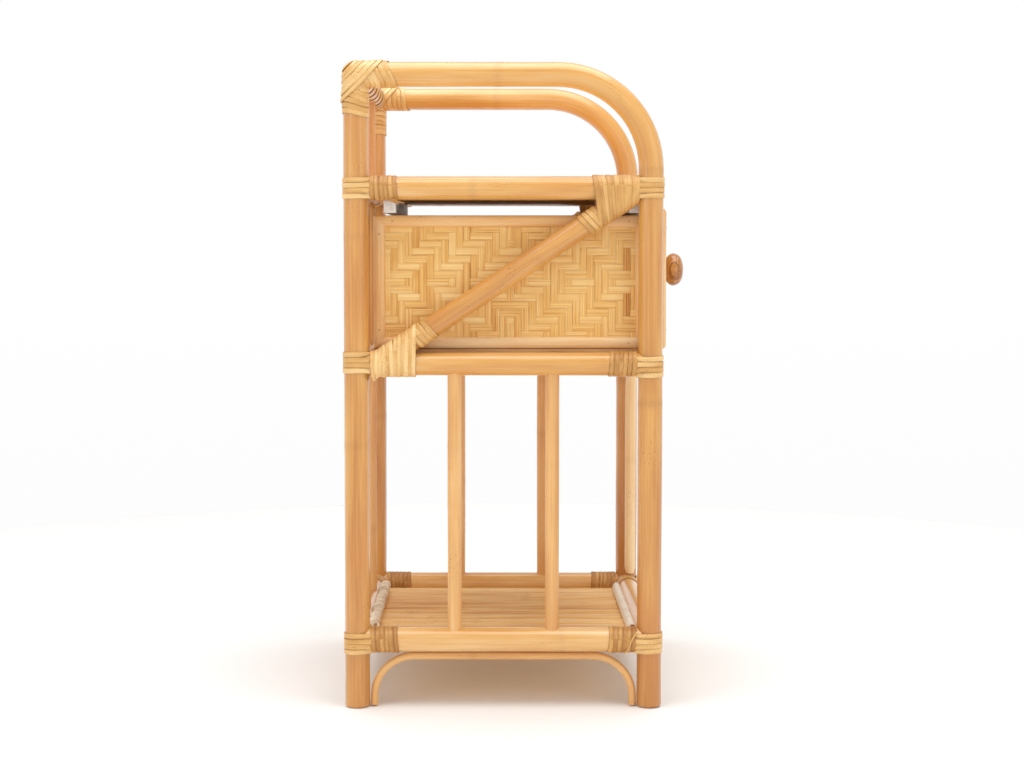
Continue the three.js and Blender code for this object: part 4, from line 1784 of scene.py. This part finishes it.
@dataclass(frozen=True)
class Panel:
    """A flat panel woven in diamonds: where it is, and how many strands it has."""

    corner: np.ndarray
    along: np.ndarray
    rise: np.ndarray
    out: np.ndarray
    length: float
    height: float
    columns: int
    rows: int
    seed: int
    dark_columns: tuple[tuple[int, float], ...] = ()
    stand: float = 0.00045
    thick: float = 0.0006

    def level_on_top(self, column: int, row: int) -> bool:
        """Tells whether the level strand shows at a crossing of the diamond weave."""
        return (abs(column - self.columns // 2) + abs(row - self.rows // 2)) % 6 >= 3

    def strand(self, mesh: PieceMesh, level: bool, number: int, rng: np.random.Generator) -> None:
        """Adds one strand with its rises and dips.

        Args:
            mesh: The panel's mesh.
            level: True for a level strand, False for an upright one.
            number: The strand's number.
            rng: The panel's own chance.
        """
        across_pitch = self.height / self.rows if level else self.length / self.columns
        along_pitch = self.length / self.columns if level else self.height / self.rows
        crossings = self.columns if level else self.rows
        over = []
        for k in range(crossings):
            column, row = (k, number) if level else (number, k)
            over.append(self.level_on_top(column, row) == level)
        places, heights = [0.0], [self.stand * (1 if over[0] else -1)]
        for k in range(crossings):
            state = 1 if over[k] else -1
            before = over[k - 1] if k else over[k]
            after = over[k + 1] if k + 1 < crossings else over[k]
            places += [k + 0.16, k + 0.5, k + 0.84]
            heights += [
                state * self.stand * (1.0 if before == over[k] else 0.45),
                state * self.stand * 1.12,
                state * self.stand * (1.0 if after == over[k] else 0.45),
            ]
        places.append(float(crossings))
        heights.append(heights[-1])
        run = np.array(places) * along_pitch
        lift = np.array(heights)
        width = across_pitch * rng.uniform(0.97, 1.0)
        middle = (number + 0.5) * across_pitch + rng.uniform(-0.0001, 0.0001)
        sway = middle + 0.00012 * ripple(run, int(rng.integers(1 << 30)), 0.09)
        profile = np.array([(-0.5, 0.0), (-0.4, 0.42), (0.0, 0.5), (0.4, 0.42), (0.5, 0.0), (0.0, -0.5)])
        a, b = profile[:, 0] * width, profile[:, 1] * self.thick
        u, v = (self.along, self.rise) if level else (self.rise, self.along)
        rings = (
            self.corner
            + run[:, None, None] * u
            + (sway[:, None] + a[None, :])[..., None] * v
            + (lift[:, None] + b[None, :])[..., None] * self.out
        )
        seat = np.broadcast_to(a[None, :], rings.shape[:2])
        grain = np.stack([seat, np.zeros_like(seat), np.broadcast_to(run[:, None], seat.shape)], axis=-1)
        # Painted shade: the strand's two side edges, where it meets its neighbours, get a darker share.
        edge = np.broadcast_to((np.abs(profile[:, 0]) > 0.45) * 0.85, seat.shape)
        tone = float(rng.uniform(0.2, 0.4) if level else rng.uniform(0.32, 0.5))
        if not level:
            tone += dict(self.dark_columns).get(number, 0.0)
        mesh.add_rings(rings, grain + rng.uniform(0, 3, 3), tone, edge)

    def add_to(self, mesh: PieceMesh) -> None:
        """Adds all the panel's strands to a piece.

        Args:
            mesh: The piece that they join.
        """
        rng = np.random.default_rng(self.seed)
        for number in range(self.rows):
            self.strand(mesh, True, number, rng)
        for number in range(self.columns):
            self.strand(mesh, False, number, rng)


@dataclass(frozen=True)
class Strip:
    """A half-round strip with mitred ends, one edge of a rectangular frame."""

    start: np.ndarray
    along: np.ndarray
    inward: np.ndarray
    out: np.ndarray
    length: float
    width: float
    height: float
    tone: float
    seed: int

    def add_to(self, mesh: PieceMesh) -> None:
        """Adds the strip to a piece.

        Args:
            mesh: The piece that it joins.
        """
        turn = np.linspace(0, math.pi, 13)
        a = self.width / 2 * (1 - np.cos(turn))
        b = self.height * np.sin(turn) ** 0.8
        share = np.linspace(0, 1, max(6, int(self.length / 0.008)))
        run = a[None, :] + (self.length - 2 * a[None, :]) * share[:, None]
        swell = 1 + 0.025 * ripple(share * self.length, self.seed, 0.19)
        rings = (
            self.start
            + run[..., None] * self.along
            + np.broadcast_to(a[None, :, None], run.shape + (1,)) * self.inward
            + (b[None, :] * swell[:, None])[..., None] * self.out
        )
        shift = np.random.default_rng(self.seed).uniform(0, 3, 3)
        seat = [np.broadcast_to(a[None, :], run.shape), np.broadcast_to(b[None, :], run.shape), run]
        mesh.add_rings(rings, np.stack(seat, axis=-1) + shift, self.tone, end_slot=1)


KNOB_OUTLINE = (
    (0.0, 0.50), (0.02, 0.53), (0.10, 0.52), (0.20, 0.46), (0.30, 0.45), (0.38, 0.50), (0.44, 0.62), (0.50, 0.78),
    (0.56, 0.905), (0.62, 0.97), (0.68, 1.0), (0.74, 0.99), (0.775, 0.965), (0.785, 0.935), (0.80, 0.935), (0.82, 0.93),
    (0.88, 0.84), (0.93, 0.70), (0.965, 0.54), (0.985, 0.38), (0.996, 0.2), (1.0, 0.06),
)
NAIL_OUTLINE = ((-0.0006, 0.96), (0.0, 1.0), (0.00022, 0.8), (0.00034, 0.4))


@dataclass(frozen=True)
class Face:
    """One woven face of the drawer: where it is, its frame of strips and its panel."""

    name: str
    corner: np.ndarray
    along: np.ndarray
    out: np.ndarray
    length: float
    height: float
    strip_w: float
    strip_h: float
    seed: int
    tones: tuple[float, float, float, float]
    rows: int
    weave_seed: int
    weave_lift: float
    dark_columns: tuple[tuple[int, float], ...]
    columns: int = 35
    tuck: float = 0.0022

    def edges(self) -> tuple[tuple[str, np.ndarray, np.ndarray, np.ndarray, float], ...]:
        """The name, start, way, inward way and length of each edge.

        Returns:
            One row for each edge.
        """
        corner, along, length, height = self.corner, self.along, self.length, self.height
        return (
            ("bottom", corner, along, UP, length),
            ("top", corner + UP * height, along, -UP, length),
            ("first", corner, UP, along, height),
            ("last", corner + along * length, UP, -along, height),
        )

    def panel(self) -> Panel:
        """The woven panel, its edges tucked under the strips.

        Returns:
            The panel.
        """
        inset = self.strip_w - self.tuck
        corner = self.corner + self.along * inset + UP * inset + self.out * self.weave_lift
        length, height = self.length - 2 * inset, self.height - 2 * inset
        counts = (self.columns, self.rows, self.weave_seed, self.dark_columns)
        return Panel(corner, self.along, UP, self.out, length, height, *counts)


@dataclass(frozen=True)
class Drawer:
    """The drawer: woven sides and front in half-round frames, plain inside, turned knob."""

    weave: WovenSplit
    strip: RattanSkin
    end: PoleEnd
    board: SawnWood
    inside: SawnWood
    knob: TurnedWood
    steel: NailSteel
    nail_inset: float = 0.019
    nail_r: float = 0.0007
    board_ease: float = 0.0006
    facing: float = 0.004

    def clad(self, bench: Bench, face: Face) -> None:
        """Builds the strips, nails and weave of one face.

        Args:
            bench: Where they are put together.
            face: The face that they cover.
        """
        heads = PieceMesh()
        for index, (place, start, way, inward, run) in enumerate(face.edges()):
            mesh = PieceMesh()
            width, height = face.strip_w, face.strip_h
            Strip(start, way, inward, face.out, run, width, height, face.tones[index], face.seed + index).add_to(mesh)
            bench.place(mesh, f"strip_{face.name}_{place}", (self.strip, self.end), Body.DRAWER)
            for distance in (self.nail_inset, run - self.nail_inset):
                self.nail_head(heads, start + way * distance + inward * (width / 2) + face.out * height, face.out)
        bench.place(heads, f"nails_{face.name}", (self.steel,), Body.DRAWER)
        mesh = PieceMesh()
        face.panel().add_to(mesh)
        bench.place(mesh, f"weave_{face.name}", (self.weave,), Body.DRAWER)

    def nail_head(self, mesh: PieceMesh, spot: np.ndarray, out: np.ndarray) -> None:
        """Adds one small domed nail head, a little sunk.

        Args:
            mesh: The piece that it joins.
            spot: Middle of the head, on the strip's crown.
            out: The way that it faces.
        """
        side = unit(np.cross(out, UP))
        turn = full_circle(12)[:, None]
        round_way = np.cos(turn) * side + np.sin(turn) * np.cross(out, side)
        rings = np.stack([spot + out * rise + round_way * self.nail_r * wide for rise, wide in NAIL_OUTLINE])
        mesh.add_rings(rings, rings.copy(), 0.5)

    def board_between(
        self, bench: Bench, node: str, low: Sequence[float], high: Sequence[float], finish: SawnWood
    ) -> None:
        """Makes a board with lightly eased edges and fits it.

        Args:
            bench: Where it is put together.
            node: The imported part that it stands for.
            low: Its lowest corner.
            high: Its highest corner.
            finish: Its finish.
        """
        low, high, ease = np.asarray(low, float), np.asarray(high, float), self.board_ease
        rows = []
        for z, inset in ((low[2], ease), (low[2] + ease, 0.0), (high[2] - ease, 0.0), (high[2], ease)):
            a, b = low[:2] + inset, high[:2] - inset
            rows.append([(a[0], a[1], z), (b[0], a[1], z), (b[0], b[1], z), (a[0], b[1], z)])
        rings = np.array(rows)
        mesh = PieceMesh()
        mesh.add_rings(rings, rings.copy(), 0.4)
        bench.place(mesh, f"board_{node}", (finish,), Body.DRAWER, (node,))

    def sides(self, bench: Bench) -> None:
        """Builds both woven sides.

        Args:
            bench: Where pieces are put together.
        """
        for side in Side:
            node, s = f"drawer_side_{side.word}", side.value
            low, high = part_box(node)
            plane = s * (max(abs(low.x), abs(high.x)) - self.facing)
            inner, edge = s * min(abs(low.x), abs(high.x)), plane - s * 0.0016
            ends = (min(inner, edge), low.y, low.z), (max(inner, edge), high.y, high.z)
            self.board_between(bench, node, *ends, self.inside)
            face = Face(
                f"drawer_{side.word}", np.array([plane, high.y, low.z]), FORWARD, ACROSS * s, high.y - low.y,
                high.z - low.z, 0.0118, 0.0042, 20 + s, (0.16, 0.4, 0.46, 0.4), rows=15, weave_seed=60 + s,
                weave_lift=-0.0006, dark_columns=((4, 0.18), (8, 0.12), (12, 0.08), (33, 0.42), (29, 0.1)),
            )
            self.clad(bench, face)

    def front(self, bench: Bench) -> None:
        """Builds the woven front with its thicker frame.

        Args:
            bench: Where pieces are put together.
        """
        low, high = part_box("drawer_front")
        plane = low.y + self.facing
        self.board_between(bench, "drawer_front", (low.x, plane + 0.0018, low.z), high, self.board)
        face = Face(
            "drawer_front", np.array([low.x, plane + 0.0016, low.z]), ACROSS, FORWARD, high.x - low.x,
            high.z - low.z, 0.0135, 0.0056, 30, (0.4, 0.45, 0.38, 0.42), rows=17, weave_seed=66,
            weave_lift=0.0004, dark_columns=((6, 0.15), (27, 0.1)),
        )
        self.clad(bench, face)

    def turned_knob(self, bench: Bench) -> None:
        """Turns the knob, with a neck, a bead and two fine grooves.

        Args:
            bench: Where pieces are put together.
        """
        low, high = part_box("drawer_knob")
        centre = np.array([(low.x + high.x) / 2, high.y, (low.z + high.z) / 2])
        reach, radius = high.y - low.y, (high.x - low.x) / 2
        turn = full_circle(48)[:, None]
        circle = np.cos(turn) * ACROSS + np.sin(turn) * UP
        rings = np.array([centre + FORWARD * reach * share + circle * radius * wide for share, wide in KNOB_OUTLINE])
        mesh = PieceMesh()
        mesh.add_rings(rings, rings.copy(), 0.5)
        bench.place(mesh, "knob_turned", (self.knob,), Body.DRAWER, ("drawer_knob",))

    def build(self, bench: Bench) -> None:
        """Builds and dresses the whole drawer.

        Args:
            bench: Where pieces are put together.
        """
        self.sides(bench)
        self.front(bench)
        self.turned_knob(bench)
        self.board_between(bench, "drawer_back", *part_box("drawer_back"), self.board)
        self.board_between(bench, "drawer_bottom", *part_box("drawer_bottom"), self.inside)


# ---- Studio -------------------------------------------------------------------------------


@dataclass(frozen=True)
class Studio:
    """Pale floor, soft light and the camera."""

    floor: PaleFloor
    reach: float = 1.3
    horizon: float = 1.0
    below: float = 0.985
    sky: float = 0.52
    lens: float = 64.38
    place: tuple[float, float, float] = (-1.9782, 0.0323, 0.4636)
    dip: float = 3.066
    shift: tuple[float, float] = (0.0234, -0.04)
    aim: tuple[float, float, float] = (0.0, 0.0, 0.32)
    lamps: tuple[tuple[str, tuple[float, float, float], float, float], ...] = (
        ("softbox_above", (-0.2, 0.0, 2.3), 2.2, 48.0),
        ("softbox_left", (-1.5, 1.6, 1.0), 1.1, 4.0),
        ("softbox_right", (-1.7, -1.5, 1.1), 1.1, 3.5),
    )

    def lay_floor(self, bench: Bench) -> None:
        """Lays a round pale floor, as bright as the room beyond it.

        Args:
            bench: Where pieces are put together.
        """
        turn = full_circle(96)
        edge = np.stack([np.cos(turn), np.sin(turn)], axis=1) * self.reach
        rings = np.array([[(x, y, z) for x, y in edge] for z in (-0.02, -0.0002)])
        mesh = PieceMesh()
        mesh.add_rings(rings, rings.copy(), 0.0)
        piece = mesh.to_object("floor")
        piece.data.materials.append(bench.rack.take(self.floor))

    def lamp(self, name: str, place: Sequence[float], size: float, power: float) -> None:
        """Hangs one square soft light.

        Args:
            name: Its name.
            place: Where it hangs.
            size: Its edge length.
            power: Its power in watts.
        """
        data = bpy.data.lights.new(name, "AREA")
        data.energy, data.size, data.shape = power, size, "SQUARE"
        lamp = bpy.data.objects.new(name, data)
        bpy.context.scene.collection.objects.link(lamp)
        lamp.location = place
        back = unit(np.asarray(place, float) - np.asarray(self.aim, float))
        side = unit(np.cross(-FORWARD if abs(back[2]) > 0.95 else UP, back))
        turned = np.stack([side, np.cross(back, side), back], axis=1)
        lamp.rotation_mode = "QUATERNION"
        lamp.rotation_quaternion = Matrix(turned.tolist()).to_quaternion()

    def room(self) -> bpy.types.World:
        """Makes a pale room: bright walls low down and a dimmer ceiling.

        Returns:
            The world.
        """
        g = Graph(bpy.data.worlds.new("soft_white_room"), "Background")
        parts = g.node("ShaderNodeSeparateXYZ")
        g.feed(parts.inputs[0], g.node("ShaderNodeTexCoord").outputs["Generated"])
        height = parts.outputs["Z"]
        ceiling = g.remap(height, 0.24, 0.42, self.horizon, self.sky, "SMOOTHSTEP")
        ground = g.remap(height, -0.14, 0.0, self.below, 1.0, "SMOOTHSTEP")
        g.feed(g.shader.inputs["Strength"], g.math("MULTIPLY", ceiling, ground))
        g.shader.inputs["Color"].default_value = (1.0, 1.0, 1.0, 1.0)
        return g.owner

    def build(self, bench: Bench) -> None:
        """Sets up the studio.

        Args:
            bench: Where pieces are put together.
        """
        self.lay_floor(bench)
        scene = bpy.context.scene
        scene.view_settings.view_transform = "Standard"
        scene.world = self.room()
        for lamp in self.lamps:
            self.lamp(*lamp)
        data = bpy.data.cameras.new("camera")
        data.lens, data.sensor_width = self.lens, 36.0
        data.shift_x, data.shift_y = self.shift
        data.clip_start, data.clip_end = 0.05, 60.0
        camera = bpy.data.objects.new("camera", data)
        scene.collection.objects.link(camera)
        camera.location = self.place
        camera.rotation_euler = (math.radians(90 - self.dip), 0.0, math.radians(-90))
        scene.camera = camera


def main() -> None:
    """Builds the table piece by piece, then the studio round it."""
    logging.basicConfig(level=logging.INFO, format="%(message)s")
    bench = Bench()
    layout = Layout.read()
    skin, end = RattanSkin(), PoleEnd()
    cane = RattanSkin("pale_slim_cane", "slim_cane", (246, 214, 164), (233, 181, 115), (207, 145, 82), 0.18)
    split = RattanSkin("split_rattan_rod", "split_pole", (252, 216, 152), (236, 182, 110), (186, 122, 58), 0.2, 0.62)
    strand = CaneStrand()
    twine = CaneStrand(
        "grey_cane_cord", "slim_cane", (246, 238, 222), (228, 212, 184), (198, 172, 134), (156, 124, 90), coat=0.0
    )
    wood = SawnWood(pale=(222, 182, 128), deep=(178, 128, 76))
    plank = SawnWood("light_sawn_plank", scale=(7, 200, 200))
    # The bearers are pale wood, whitened further as painted light so that their shaded faces read light.
    bearer = SawnWood("whitened_bearer_wood", scale=(9, 260, 260), pale=(250, 248, 243), deep=(222, 215, 202))
    ply = SawnWood("drawer_ply", scale=(14, 14, 330), pale=(232, 196, 142), deep=(206, 160, 104))
    for side in Side:
        SideFrame(side, layout, skin, end, cane).build(bench)
    CrossFrame(layout, skin, end, cane, strand).build(bench)
    for side in Side:
        Bindings(side, layout, strand).build(bench)
    Deck("bottom_shelf", "shelf", split, end, seed=700).build(bench)
    Deck("table_top", "top", split, end, seed=760).build(bench)
    ShelfTrim(twine, end, bearer, wood).build(bench)
    Drawer(WovenSplit(), cane, end, plank, ply, TurnedWood(), NailSteel()).build(bench)
    Studio(PaleFloor()).build(bench)


if __name__ == "__main__":
    main()
